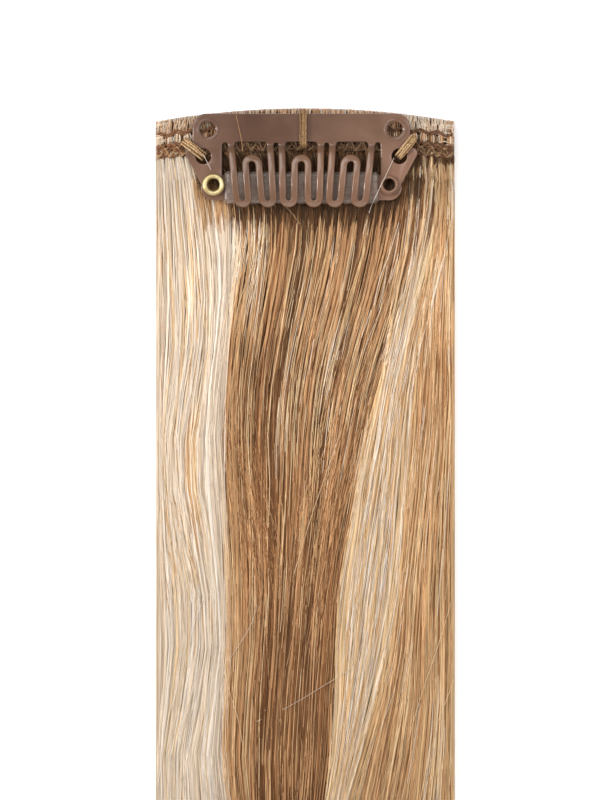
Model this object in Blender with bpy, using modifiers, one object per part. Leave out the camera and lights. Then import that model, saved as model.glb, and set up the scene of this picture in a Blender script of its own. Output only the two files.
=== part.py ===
"""Clip in hair extension: a sewn weft of hair with a stamped snap clip.

It lies on its back on the plane z = 0, clip side up. +X is to the right, +Y runs
from the hair's ends to the weft, +Z points up from the hair to the clip. Metres.
"""

import math

import bmesh
import bpy

# Weft
weft_width = 0.0413
weft_end_height = 0.0059
weft_top_rise = 0.0018
weft_bottom_rise = 0.0011
weft_thickness = 0.0030
weft_rib_pitch = 0.00125
weft_rib_depth = 0.0004

# Hair
hair_length = 0.0911
hair_thickness = 0.0030
lock_crown = 0.0009
lock_end_notch = 0.0012

# Clip sheet
clip_width = 0.0320
clip_shift_x = -0.0005
clip_below_weft_top = 0.0009
sheet_thickness = 0.0005
bar_height = 0.0039
ear_width = 0.0041
ear_lobe_reach = 0.0010
ear_corner_radius = 0.0019
ear_lobe_radius = 0.0008
ear_notch_radius = 0.0005
ear_end_wall = 0.0004
rivet_drop = 0.0059
rivet_inset = 0.0012
sewing_hole_radius = 0.00105
upper_hole_inset = 0.0021
upper_hole_drop = 0.0022
lower_hole_inset = 0.0025
lower_hole_drop = 0.0020

# Comb
comb_runs = 3
comb_bar_width = 0.00095
comb_slot = 0.0007
comb_side_slot = 0.0007
comb_lean = 0.00066
comb_tip_slot = 0.00035
comb_loop_gap = 0.00066
comb_arch_gap = 0.0009
comb_loop_drop = 0.00778
comb_arch_drop = 0.00317
comb_bow = 0.0009

# Crossbar, sleeve and eyelets
crossbar_width = 0.0035
crossbar_below_rivets = 0.0004
sleeve_wall = 0.0003
eyelet_bore_radius = 0.0008
eyelet_wall = 0.00015
eyelet_flange_thickness = 0.0003
brass_flange_radius = 0.00155
painted_flange_radius = 0.00128
back_flange_radius = 0.0014

# Threads
side_thread_width = 0.0012
centre_thread_width = 0.0011
thread_thickness = 0.0006
centre_thread_shift_x = 0.0004

# Gaps between neighbours
clearance = 0.0003
close_gap = 0.0001

# Levels above the plane that the hair lies on
sheet_bottom = weft_thickness + clearance
sheet_middle = sheet_bottom + sheet_thickness / 2
sheet_top = sheet_bottom + sheet_thickness
crossbar_middle = sheet_bottom - close_gap - sheet_thickness / 2
sleeve_half_height = sheet_thickness / 2 + close_gap + sleeve_wall
comb_tip_rise = crossbar_middle + sleeve_half_height + clearance + sheet_thickness / 2 - sheet_middle
hair_top_under_clip = crossbar_middle - sleeve_half_height - clearance

# Places in plan, with the middle of the whole outline at x = 0, y = 0
weft_middle_height = weft_end_height + weft_top_rise - weft_bottom_rise
top_y = (weft_middle_height + clearance + hair_length) / 2
clip_top_y = top_y - clip_below_weft_top
root_y = clip_top_y - bar_height
rivet_y = root_y - rivet_drop
shoulder_half = clip_width / 2 - ear_lobe_reach
opening_half = shoulder_half - ear_width
rivet_half = opening_half + rivet_inset
eyelet_barrel_radius = eyelet_bore_radius + eyelet_wall
rivet_hole_radius = eyelet_barrel_radius + close_gap
ear_end_radius = rivet_hole_radius + ear_end_wall
lower_hole_half = clip_width / 2 - lower_hole_inset
lower_hole_y = root_y - lower_hole_drop
comb_pitch = (2 * opening_half - 2 * comb_side_slot + comb_slot) / comb_runs
comb_reach = comb_loop_drop + (comb_loop_gap + comb_bar_width) / 2 + comb_bar_width / 2

# Weft section: share of the height from its lower edge, share of the thickness, and share
# of the rib depth that the section loses between two ribs
WEFT_SECTION = (
    ("lower_edge", 0.00, 0.30, 0.0),
    ("lower_roll", 0.04, 0.72, 0.5),
    ("below_braid", 0.10, 0.88, 1.0),
    ("braid_row", 0.19, 0.84, 0.4),
    ("above_braid", 0.30, 0.93, 1.0),
    ("puff", 0.46, 1.00, 1.0),
    ("below_zigzag", 0.60, 0.93, 1.0),
    ("zigzag_row", 0.70, 0.84, 0.4),
    ("fringe", 0.84, 0.86, 1.0),
    ("top_roll", 0.95, 0.66, 0.5),
    ("top_edge", 1.00, 0.28, 0.0),
)

# Locks: where each lock's right side lies at the weft, half way and at the ends, as shares
# of the width, how much of the lock crown it has, and how far its end stops short of the
# longest ones, as a share of the notch between two locks
LOCKS = (
    ("pale_outer", 0.11, 0.10, 0.09, 0.70, 0.5),
    ("pale_inner", 0.20, 0.16, 0.15, 1.00, 0.0),
    ("white_streak", 0.28, 0.22, 0.22, 0.85, 0.4),
    ("brown_left", 0.42, 0.33, 0.34, 0.75, 0.1),
    ("brown_middle", 0.57, 0.47, 0.45, 1.00, 0.0),
    ("brown_right", 0.79, 0.66, 0.56, 0.80, 0.3),
    ("beige_streak", 0.89, 0.82, 0.65, 1.00, 0.0),
    ("gold_inner", 0.95, 0.91, 0.83, 0.75, 0.5),
    ("gold_outer", 1.00, 1.00, 1.00, 0.90, 0.2),
)

# Hair thickness along its length: share of the length, share of the full thickness
HAIR_BODY = (
    ("crown", 0.30, 1.00),
    ("middle", 0.62, 0.94),
    ("thinning", 0.90, 0.80),
    ("ends", 1.00, 0.55),
)


def new_collection(name):
    """Make a collection and link it to the scene."""
    collection = bpy.data.collections.new(name)
    bpy.context.scene.collection.children.link(collection)
    return collection


def material(name, color, roughness, metallic=0.0):
    """Make a Principled material with one colour."""
    made = bpy.data.materials.new(name)
    made.use_nodes = True
    shader = made.node_tree.nodes["Principled BSDF"]
    shader.inputs["Base Color"].default_value = (*color, 1.0)
    shader.inputs["Roughness"].default_value = roughness
    shader.inputs["Metallic"].default_value = metallic
    return made


def arc(centre, radius, start_deg, end_deg, steps):
    """Points on an arc, both ends included."""
    turn = (end_deg - start_deg) / steps
    angles = [math.radians(start_deg + turn * i) for i in range(steps + 1)]
    return [(centre[0] + radius * math.cos(a), centre[1] + radius * math.sin(a)) for a in angles]


def circle(centre, radius, steps=24):
    """Points on a whole circle, each once."""
    return arc(centre, radius, 0, 360 - 360 / steps, steps - 1)


def outer_tangent_deg(centre_a, radius_a, centre_b, radius_b):
    """Direction from both centres to the line that touches both circles on their right."""
    dx = centre_b[0] - centre_a[0]
    dy = centre_b[1] - centre_a[1]
    turn = math.acos((radius_a - radius_b) / math.hypot(dx, dy))
    return math.degrees(math.atan2(dy, dx) + turn)


def curve_points(data, points, cyclic):
    """Add one straight-sided spline through the points."""
    spline = data.splines.new("POLY")
    spline.points.add(len(points) - 1)
    for target, point in zip(spline.points, points):
        target.co = (*point, 1.0)
    spline.use_cyclic_u = cyclic


def place(obj, collection, shade, smooth=False):
    """Link a finished object and give it its material and shading."""
    collection.objects.link(obj)
    obj.data.materials.clear()
    obj.data.materials.append(shade)
    if smooth:
        obj.data.shade_smooth()
        obj.data.set_sharp_from_angle(angle=math.radians(40))
    return obj


def to_mesh(curve_object, name):
    """Turn a curve object into a mesh object with its caps welded."""
    bpy.context.scene.collection.objects.link(curve_object)
    bpy.context.view_layer.update()
    graph = bpy.context.evaluated_depsgraph_get()
    mesh = bpy.data.meshes.new_from_object(curve_object.evaluated_get(graph))
    body = bmesh.new()
    body.from_mesh(mesh)
    bmesh.ops.remove_doubles(body, verts=body.verts, dist=close_gap / 100)
    bmesh.ops.recalc_face_normals(body, faces=body.faces)
    body.to_mesh(mesh)
    body.free()
    placed = curve_object.matrix_world.copy()
    bpy.data.objects.remove(curve_object)
    mesh.name = name
    made = bpy.data.objects.new(name, mesh)
    made.matrix_world = placed
    return made


def sheet(name, outlines, thickness, collection, shade):
    """A flat piece with holes: the first outline is its edge, the others are its holes."""
    data = bpy.data.curves.new(name, "CURVE")
    data.dimensions = "2D"
    data.fill_mode = "BOTH"
    data.extrude = thickness / 2
    for outline in outlines:
        curve_points(data, [(x, y, 0.0) for x, y in outline], True)
    return place(to_mesh(bpy.data.objects.new(name, data), name), collection, shade)


def swept(name, path, section, guides, collection, shade, smooth):
    """Sweep a closed section along an open path, with the section's height kept upward."""
    guide_data = bpy.data.curves.new(name + "_section", "CURVE")
    guide_data.dimensions = "2D"
    curve_points(guide_data, [(x, y, 0.0) for x, y in section], True)
    guide = bpy.data.objects.new(name + "_section", guide_data)
    guide.hide_render = True
    guide.display_type = "WIRE"
    guides.objects.link(guide)
    data = bpy.data.curves.new(name, "CURVE")
    data.dimensions = "3D"
    data.twist_mode = "Z_UP"
    data.bevel_mode = "OBJECT"
    data.bevel_object = guide
    data.use_fill_caps = True
    curve_points(data, path, False)
    return place(to_mesh(bpy.data.objects.new(name, data), name), collection, shade, smooth)


def lofted(name, rings, collection, shade):
    """Join rings of equally many points into one closed body with flat ends."""
    mesh = bpy.data.meshes.new(name)
    body = bmesh.new()
    loops = [[body.verts.new(point) for point in ring] for ring in rings]
    for before, after in zip(loops, loops[1:]):
        for i in range(len(before)):
            j = (i + 1) % len(before)
            body.faces.new((before[i], before[j], after[j], after[i]))
    for ring in (loops[0], loops[-1]):
        half = len(ring) // 2
        for i in range(half - 1):
            body.faces.new((ring[i], ring[i + 1], ring[-2 - i], ring[-1 - i]))
    bmesh.ops.recalc_face_normals(body, faces=body.faces)
    body.to_mesh(mesh)
    body.free()
    return place(bpy.data.objects.new(name, mesh), collection, shade, True)


def turned(name, profile, centre, collection, shade):
    """Turn a closed profile about the vertical through the centre."""
    mesh = bpy.data.meshes.new(name)
    body = bmesh.new()
    ring = [body.verts.new((radius, 0.0, height)) for radius, height in profile]
    for i, vert in enumerate(ring):
        body.edges.new((vert, ring[(i + 1) % len(ring)]))
    body.to_mesh(mesh)
    body.free()
    made = place(bpy.data.objects.new(name, mesh), collection, shade)
    made.location = (*centre, 0.0)
    screw = made.modifiers.new("turn", "SCREW")
    screw.steps = 20
    screw.render_steps = 20
    screw.use_merge_vertices = True
    screw.merge_threshold = close_gap / 10
    screw.use_smooth_shade = True
    return made


def weft_edge(x, height_share):
    """Height in plan of a line along the arched weft."""
    arch = 1.0 - (2.0 * x / weft_width) ** 2
    low = top_y - weft_middle_height - weft_bottom_rise * (1.0 - arch)
    high = top_y - weft_top_rise * (1.0 - arch)
    return low + (high - low) * height_share


def make_weft(collection, shade):
    """The arched band, with a rib for each puff of hair between the stitch rows."""
    ribs = max(3, round(weft_width / weft_rib_pitch))
    rings = []
    for station in range(2 * ribs + 1):
        x = weft_width * (station / (2 * ribs) - 0.5)
        dip = weft_rib_depth * (station % 2 == 0)
        top = [
            (x, weft_edge(x, share), weft_thickness * rise - dip * ribbed)
            for _, share, rise, ribbed in WEFT_SECTION
        ]
        base = [(x, y, 0.0) for _, y, _ in reversed(top)]
        rings.append(top + base)
    return lofted("weft", rings, collection, shade)


def between(first, middle, last, share):
    """Value of the parabola through three values at shares 0, 1/2 and 1."""
    return (
        first * (1.0 - share) * (1.0 - 2.0 * share)
        + middle * 4.0 * share * (1.0 - share)
        + last * share * (2.0 * share - 1.0)
    )


def hair_level(distance):
    """Thickness of the hair between its locks, at a distance below the weft."""
    clip_end = (root_y - comb_reach - clearance) - (top_y - weft_middle_height)
    rows = [(0.0, hair_top_under_clip - lock_crown), (-clip_end, hair_top_under_clip - lock_crown)]
    rows += [(hair_length * share, hair_thickness * rise - lock_crown) for _, share, rise in HAIR_BODY]
    for (start, low), (end, high) in zip(rows, rows[1:]):
        if distance <= end:
            return low + (high - low) * (distance - start) / (end - start)
    return rows[-1][1]


def make_hair(collection, shade):
    """Locks side by side, fused into one body that is flat underneath."""
    stations = 24
    columns = 6
    longest = top_y - weft_middle_height - clearance - hair_length
    rings = []
    for station in range(stations + 1):
        share = station / stations
        rights = [between(a, b, c, share) for _, a, b, c, _, _ in LOCKS]
        lefts = [0.0] + rights[:-1]
        rows = []
        for (_, _, _, _, crown, short), left, right in zip(LOCKS, lefts, rights):
            for column in range(columns):
                across = column / columns
                bulge = math.sqrt(math.sin(math.pi * across))
                x = weft_width * (left + (right - left) * across - 0.5)
                rows.append((x, crown * bulge, (1.0 - bulge) + short * bulge))
        rows.append((weft_width / 2, 0.0, 1.0))
        top = []
        for x, hump, notch in rows:
            start = weft_edge(x, 0.0) - clearance
            y = start + (longest + lock_end_notch * notch - start) * share
            top.append((x, y, hair_level(start - y) + lock_crown * hump))
        base = [(x, y, 0.0) for x, y, _ in reversed(top)]
        rings.append(top + base)
    return lofted("hair", rings, collection, shade)


def clip_outline():
    """Edge of the clip's sheet: top bar and ears, open below the bar for the comb."""
    corner = (shoulder_half - ear_corner_radius, clip_top_y - ear_corner_radius)
    notch = (shoulder_half + ear_notch_radius, root_y - ear_notch_radius / 2)
    lobe = (clip_width / 2 - ear_lobe_radius, notch[1] - ear_notch_radius - ear_lobe_radius)
    rivet = (rivet_half, rivet_y)
    slant = outer_tangent_deg(lobe, ear_lobe_radius, rivet, ear_end_radius)
    inner = math.degrees(math.acos(max(-1.0, -rivet_inset / ear_end_radius)))
    right = arc(corner, ear_corner_radius, 90, 0, 8)
    right += arc(notch, ear_notch_radius, 180, 240, 4)
    right += arc(lobe, ear_lobe_radius, 75, slant, 6)
    right += arc(rivet, ear_end_radius, slant, -inner, 10)
    right.append((opening_half, root_y))
    left = [(-x, y) for x, y in reversed(right)]
    return [(x + clip_shift_x, y) for x, y in right + left]


def make_clip_plate(collection, shade):
    """The stamped sheet with its two pairs of sewing holes and two rivet holes."""
    holes = (
        ("upper", shoulder_half - upper_hole_inset, clip_top_y - upper_hole_drop, sewing_hole_radius),
        ("lower", lower_hole_half, lower_hole_y, sewing_hole_radius),
        ("rivet", rivet_half, rivet_y, rivet_hole_radius),
    )
    outlines = [clip_outline()]
    for side in (-1, 1):
        for _, x, y, radius in holes:
            outlines.append(circle((clip_shift_x + side * x, y), radius))
    plate = sheet("clip_plate", outlines, sheet_thickness, collection, shade)
    plate.location.z = sheet_middle
    return plate


def comb_rise(depth):
    """Height of the bowed comb above the sheet, at a depth below the bar."""
    share = depth / comb_reach
    return comb_tip_rise * share + comb_bow * 4.0 * share * (1.0 - share)


def comb_path(run):
    """Middle line of one W: down, round a loop, over the arch, round a loop and up."""
    tip_pitch = comb_pitch - comb_lean
    root_half = (comb_pitch - comb_slot - comb_bar_width) / 2
    tip_half = (tip_pitch - comb_tip_slot - comb_bar_width) / 2
    loop_radius = (comb_loop_gap + comb_bar_width) / 2
    arch_half = (comb_arch_gap + comb_bar_width) / 2
    loop_middle = tip_half - loop_radius
    steps = 5
    left = [(-root_half, -clearance - comb_loop_drop * i / steps) for i in range(steps)]
    left = [(x - (tip_half - root_half) * -y / comb_loop_drop, y) for x, y in left]
    left += arc((-loop_middle, -comb_loop_drop), loop_radius, 180, 360, 8)
    inner_x = -loop_middle + loop_radius
    for i in range(1, steps - 1):
        share = i / (steps - 1)
        x = inner_x + (-arch_half - inner_x) * share
        left.append((x, -comb_loop_drop + (comb_loop_drop - comb_arch_drop) * share))
    left += arc((0.0, -comb_arch_drop), arch_half, 180, 90, 5)
    right = [(-x, y) for x, y in reversed(left[:-1])]
    points = []
    for x, y in left + right:
        middle = run * (comb_pitch - comb_lean * -y / comb_loop_drop)
        points.append((clip_shift_x + middle + x, root_y + y, sheet_middle + comb_rise(-y)))
    return points


def make_comb(hinge, guides, collection, shade):
    """Three W-shaped runs side by side, hung from the hinge line under the bar."""
    half_width = comb_bar_width / 2
    half_height = sheet_thickness / 2
    section = (
        (-half_width, -half_height),
        (half_width, -half_height),
        (half_width, half_height),
        (-half_width, half_height),
    )
    for i, name in enumerate(("comb_left", "comb_middle", "comb_right")):
        path = comb_path(i - (comb_runs - 1) / 2)
        made = swept(name, path, section, guides, collection, shade, False)
        made.parent = hinge
        made.matrix_parent_inverse = hinge.matrix_world.inverted()


def stadium(half_length, half_height, steps=10):
    """A rounded slot shape about the origin."""
    right = arc((half_length, 0.0), half_height, -90, 90, steps)
    return right + arc((-half_length, 0.0), half_height, 90, 270, steps)


def make_crossbar(collection, shade):
    """The flat bar behind the comb, with an eye at each eyelet."""
    outlines = [stadium(rivet_half, crossbar_width / 2)]
    for side in (-1, 1):
        outlines.append(circle((side * rivet_half, crossbar_below_rivets), rivet_hole_radius))
    bar = sheet("crossbar", outlines, sheet_thickness, collection, shade)
    bar.location = (clip_shift_x, rivet_y - crossbar_below_rivets, crossbar_middle)
    return bar


def make_sleeve(collection, shade):
    """A flat tube over the crossbar, between the ears."""
    inner_half_height = sheet_thickness / 2 + close_gap
    inner_half_width = crossbar_width / 2 + 2 * close_gap
    outer_half_height = inner_half_height + sleeve_wall
    outer_half_width = inner_half_width + sleeve_wall
    outlines = [
        stadium(outer_half_width - outer_half_height, outer_half_height, 6),
        stadium(inner_half_width - inner_half_height, inner_half_height, 6),
    ]
    length = 2 * (opening_half - clearance)
    sleeve = sheet("silicone_sleeve", outlines, length, collection, shade)
    sleeve.rotation_euler = (math.pi / 2, 0.0, math.pi / 2)
    sleeve.location = (clip_shift_x, rivet_y - crossbar_below_rivets, crossbar_middle)
    return sleeve


def make_eyelet(name, side, flange_radius, collection, shade):
    """A rolled eyelet through the ear and the crossbar."""
    top_seat = sheet_top + close_gap
    top = top_seat + eyelet_flange_thickness
    back_seat = crossbar_middle - sheet_thickness / 2 - close_gap
    back = back_seat - eyelet_flange_thickness
    chamfer = eyelet_flange_thickness / 3
    profile = (
        (eyelet_bore_radius + chamfer, top),
        (flange_radius - chamfer, top),
        (flange_radius, top - chamfer),
        (flange_radius, top_seat),
        (eyelet_barrel_radius, top_seat),
        (eyelet_barrel_radius, back_seat),
        (back_flange_radius, back_seat),
        (back_flange_radius, back + chamfer),
        (back_flange_radius - chamfer, back),
        (eyelet_bore_radius + chamfer, back),
        (eyelet_bore_radius, back + chamfer),
        (eyelet_bore_radius, top - chamfer),
    )
    centre = (clip_shift_x + side * rivet_half, rivet_y)
    return turned(name, profile, centre, collection, shade)


def thread_section(width):
    """A flat oval for several passes of thread side by side."""
    steps = 10
    angles = [2 * math.pi * i / steps for i in range(steps)]
    return [(width / 2 * math.cos(a), thread_thickness / 2 * math.sin(a)) for a in angles]


def thread_levels():
    """Heights of a bundle's middle where it leaves the weft and where it crosses the sheet."""
    low = weft_thickness + clearance + thread_thickness / 4
    high = sheet_top + close_gap + thread_thickness / 2
    return low, high


def make_side_thread(name, side, aim_deg, reach, guides, collection, shade):
    """A bundle that comes up through a lower sewing hole and over the ear to the weft."""
    low, high = thread_levels()
    start = (clip_shift_x + side * lower_hole_half, lower_hole_y)
    rows = (
        (-0.30 * sewing_hole_radius, low),
        (-0.25 * sewing_hole_radius, (low + high) / 2),
        (0.10 * sewing_hole_radius, high - thread_thickness / 6),
        (0.75 * sewing_hole_radius, high + thread_thickness / 4),
        (0.55 * reach, high + thread_thickness / 4),
        (0.78 * reach, high - thread_thickness / 5),
        (0.93 * reach, (low + high) / 2),
        (1.00 * reach, low),
    )
    aim = math.radians(aim_deg)
    path = [(start[0] + s * math.cos(aim), start[1] + s * math.sin(aim), z) for s, z in rows]
    section = thread_section(side_thread_width)
    return swept(name, path, section, guides, collection, shade, True)


def make_centre_thread(guides, collection, shade):
    """A bundle over the middle of the top bar, into the weft on both sides of it."""
    low, high = thread_levels()
    half = bar_height / 2
    x = clip_shift_x + centre_thread_shift_x
    out = thread_thickness / 2
    side = (
        (half + close_gap + 1.4 * out, low),
        (half + close_gap + 1.1 * out, (low + high) / 2),
        (half - 0.4 * out, high + out / 3),
        (0.45 * half, high + out / 2),
    )
    rows = list(side) + [(-s, z) for s, z in reversed(side)]
    path = [(x, clip_top_y - half + s, z) for s, z in rows]
    section = thread_section(centre_thread_width)
    return swept("thread_centre", path, section, guides, collection, shade, True)


def build():
    """Make the whole part."""
    for old in list(bpy.data.objects):
        bpy.data.objects.remove(old)

    parts = new_collection("clip_in_hair_extension")
    guides = new_collection("guides")

    sewn_hair = material("sewn_hair", (0.42, 0.28, 0.16), 0.60)
    streaked_hair = material("streaked_hair", (0.55, 0.38, 0.22), 0.50)
    brown_paint = material("brown_paint", (0.17, 0.10, 0.065), 0.45)
    brass = material("brass", (0.62, 0.47, 0.22), 0.25, 1.0)
    silicone = material("silicone", (0.22, 0.15, 0.12), 0.35)
    thread = material("thread", (0.36, 0.24, 0.12), 0.70)

    make_weft(parts, sewn_hair)
    make_hair(parts, streaked_hair)
    make_clip_plate(parts, brown_paint)

    hinge = bpy.data.objects.new("comb_hinge", None)
    hinge.location = (clip_shift_x, root_y - clearance / 2, sheet_middle)
    parts.objects.link(hinge)
    bpy.context.view_layer.update()
    make_comb(hinge, guides, parts, brown_paint)

    make_crossbar(parts, brown_paint)
    make_sleeve(parts, silicone)
    make_eyelet("eyelet_left", -1, brass_flange_radius, parts, brass)
    make_eyelet("eyelet_right", 1, painted_flange_radius, parts, brown_paint)

    ear_crossing = ear_width + ear_lobe_reach - lower_hole_inset
    make_side_thread("thread_left", -1, 152, 4.3 / 2.6 * ear_crossing, guides, parts, thread)
    make_side_thread("thread_right", 1, 45, 3.7 / 2.6 * ear_crossing, guides, parts, thread)
    make_centre_thread(guides, parts, thread)


build()
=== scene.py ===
"""Looks of the clip in hair extension: stamped clip, sewn weft and streaked hair."""

import math

import bmesh
import bpy
import numpy as np
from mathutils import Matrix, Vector


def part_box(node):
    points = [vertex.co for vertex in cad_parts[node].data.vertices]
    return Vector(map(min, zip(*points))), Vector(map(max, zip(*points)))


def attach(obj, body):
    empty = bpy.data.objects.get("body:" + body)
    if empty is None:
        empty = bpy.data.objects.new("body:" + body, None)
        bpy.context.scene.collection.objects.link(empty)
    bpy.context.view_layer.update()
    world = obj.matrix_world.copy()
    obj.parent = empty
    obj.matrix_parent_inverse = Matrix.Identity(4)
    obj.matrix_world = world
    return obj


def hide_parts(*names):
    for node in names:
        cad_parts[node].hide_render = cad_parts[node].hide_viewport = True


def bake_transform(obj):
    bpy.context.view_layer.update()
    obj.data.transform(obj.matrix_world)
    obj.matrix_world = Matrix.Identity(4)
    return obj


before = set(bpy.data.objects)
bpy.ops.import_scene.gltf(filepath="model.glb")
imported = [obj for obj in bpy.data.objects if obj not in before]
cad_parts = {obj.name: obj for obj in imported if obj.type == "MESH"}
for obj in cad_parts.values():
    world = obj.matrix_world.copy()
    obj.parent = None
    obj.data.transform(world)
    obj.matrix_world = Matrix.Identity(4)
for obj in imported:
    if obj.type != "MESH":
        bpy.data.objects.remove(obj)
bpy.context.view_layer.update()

# Scale of the photograph, from the clip's real width, and its picture frame in pixels
CLIP_WIDTH = 0.0320
CLIP_PIXELS = 232.3
PIXEL = CLIP_WIDTH / CLIP_PIXELS
FRAME_WIDTH_PX = 600
FRAME_HEIGHT_PX = 800
WEFT_LEFT_PX = 155
WEFT_RIGHT_PX = 455
WEFT_TOP_PX = 107
CLIP_LEFT_PX = 205
CLIP_RIGHT_PX = 402

MM = 0.001
FULL_TURN = 6.28

# Places and levels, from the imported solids
WEFT_LOW, WEFT_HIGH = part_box("weft")
HAIR_LOW, HAIR_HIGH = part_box("hair")
PLATE_LOW, PLATE_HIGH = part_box("clip_plate")
BAR_LOW, BAR_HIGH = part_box("crossbar")
SLEEVE_LOW, SLEEVE_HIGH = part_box("silicone_sleeve")
EYELET_LOW, EYELET_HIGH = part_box("eyelet_left")

WEFT_WIDTH = WEFT_HIGH.x - WEFT_LOW.x
WEFT_TOP = WEFT_HIGH.y
WEFT_THICKNESS = WEFT_HIGH.z
WEFT_MIDDLE_HEIGHT = 0.0066
WEFT_TOP_RISE = 0.0018
WEFT_BOTTOM_RISE = 0.0011
RIB_PITCH = 0.00125
ZIGZAG_PITCH = 0.00240
WEFT_STRAND_RADIUS = 0.000048

CLIP_X = (PLATE_LOW.x + PLATE_HIGH.x) / 2
CLIP_TOP = PLATE_HIGH.y
SHEET_LOW = PLATE_LOW.z
SHEET_TOP = PLATE_HIGH.z
SHEET_THICKNESS = SHEET_TOP - SHEET_LOW
SHEET_MIDDLE = (SHEET_TOP + SHEET_LOW) / 2
RIVET_X = (EYELET_LOW.x + EYELET_HIGH.x) / 2
RIVET_Y = (EYELET_LOW.y + EYELET_HIGH.y) / 2
RIVET_HALF = CLIP_X - RIVET_X
BAR_Y = (BAR_LOW.y + BAR_HIGH.y) / 2
BAR_MIDDLE = (BAR_LOW.z + BAR_HIGH.z) / 2

# Sizes of the stamped sheet that a box doesn't tell
BAR_HEIGHT = 0.0039
SHOULDER_HALF = 0.0150
OPENING_HALF = 0.0109
CORNER_RADIUS = 0.0019
LOBE_RADIUS = 0.0008
NOTCH_RADIUS = 0.0005
EAR_END_RADIUS = 0.00145
SEWING_HOLE_RADIUS = 0.00105
UPPER_HOLE = (0.0129, -0.0022)
LOWER_HOLE = (0.0135, -0.0059)
RIVET_HOLE_RADIUS = 0.00105
SHEET_ROUNDING = 0.00018
BAR_ROUNDING = 0.00010
ROOT_Y = CLIP_TOP - BAR_HEIGHT

# Sizes of the comb
COMB_RUNS = 3
COMB_BAR = 0.00095
COMB_SLOT = 0.0007
COMB_TIP_SLOT = 0.00035
COMB_LEAN = 0.00066
COMB_LOOP_GAP = 0.00066
COMB_ARCH_GAP = 0.0009
COMB_LOOP_DROP = 0.00778
COMB_ARCH_DROP = 0.00317
COMB_PITCH = (2 * OPENING_HALF - COMB_SLOT) / COMB_RUNS
COMB_REACH = COMB_LOOP_DROP + (COMB_LOOP_GAP + COMB_BAR) / 2 + COMB_BAR / 2
COMB_TIP_RISE = SLEEVE_HIGH.z + 0.0003 + SHEET_THICKNESS / 2 - SHEET_MIDDLE
COMB_BOW = 0.0009
COMB_SEAM_DROP = 0.0005
COMB_START_RUN = 0.0012

# Weft section, as shares of its height and of its thickness: lower edge and roll, the braided row
# between two swells, the puffs, the zigzag row between two swells, top roll and edge
SECTION_SHARES = np.array([0.00, 0.04, 0.10, 0.19, 0.30, 0.46, 0.60, 0.70, 0.84, 0.95, 1.00])
SECTION_RISES = np.array([0.30, 0.72, 0.86, 0.82, 0.90, 0.97, 0.91, 0.82, 0.84, 0.64, 0.28])

# Locks from the left, two pale, one white, three brown, one beige and two gold: right side at the
# weft, half way and at the ends as shares of the width, crown as a share of the lock crown, how
# short its end is as a share of the notch, and its deep tone, which colours the lock's inside as
# painted shade between the strands
LOCKS = (
    (0.11, 0.10, 0.09, 0.70, 0.5, "cream_shade"),
    (0.20, 0.16, 0.15, 1.00, 0.0, "cream_shade"),
    (0.28, 0.22, 0.22, 0.85, 0.4, "cream_shade"),
    (0.42, 0.33, 0.34, 0.75, 0.1, "deep_brown"),
    (0.57, 0.47, 0.45, 1.00, 0.0, "deep_brown"),
    (0.79, 0.66, 0.56, 0.80, 0.3, "deep_brown"),
    (0.89, 0.82, 0.65, 1.00, 0.0, "tan_shade"),
    (0.95, 0.91, 0.83, 0.75, 0.5, "tan_shade"),
    (1.00, 1.00, 1.00, 0.90, 0.2, "tan_shade"),
)
LOCK_CROWN = 0.0009
LOCK_END_NOTCH = 0.0012
HAIR_UNDER_CLIP = SLEEVE_LOW.z - 0.0003

# Hair thickness along its length: share of the length, share of the full thickness
HAIR_BODY = ((0.30, 1.00), (0.62, 0.94), (0.90, 0.80), (1.00, 0.55))

# Borders between the colour zones down the hair: row of the photograph, and the columns where
# brown, beige and gold start
BORDERS = (
    (165, 226, 394, 434),
    (215, 239, 392, 434),
    (260, 238, 391, 430),
    (330, 230, 385, 416),
    (410, 222, 370, 411),
    (500, 226, 357, 403),
    (600, 223, 340, 394),
    (700, 224, 336, 375),
    (820, 228, 324, 342),
)
ZONES = ("pale", "brown", "beige", "gold")

# Streams of hair: zone, strands, place across the zone at the weft, half way and low down,
# clump size, strand radius in millimetres and the chance of each tone
STREAMS = (
    ("pale", "pale", 1050, (0.00, 0.60), (0.00, 0.77), (0.00, 0.82), 0.018, (0.036, 0.056),
     {"white_blond": 0.12, "pale_blond": 0.46, "cream": 0.34, "beige": 0.08}),
    ("white", "pale", 860, (0.54, 1.02), (0.72, 1.02), (0.76, 1.06), 0.018, (0.036, 0.056),
     {"white_blond": 0.26, "pale_blond": 0.46, "cream": 0.28}),
    ("brown", "brown", 1600, (-0.02, 1.26), (-0.01, 1.01), (0.05, 0.99), 0.013, (0.038, 0.064),
     {"beige": 0.06, "gold": 0.13, "tan": 0.26, "caramel": 0.25, "brown": 0.17, "dark_brown": 0.13}),
    ("beige", "beige", 700, (0.35, 1.60), (0.00, 1.05), (-0.02, 1.03), 0.045, (0.034, 0.056),
     {"pale_blond": 0.26, "beige": 0.44, "gold": 0.22, "tan": 0.08}),
    ("gold", "gold", 1150, (0.00, 0.99), (0.00, 0.99), (0.00, 0.99), 0.020, (0.034, 0.058),
     {"beige": 0.13, "gold": 0.34, "tan": 0.34, "caramel": 0.14, "brown": 0.05}),
)

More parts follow.
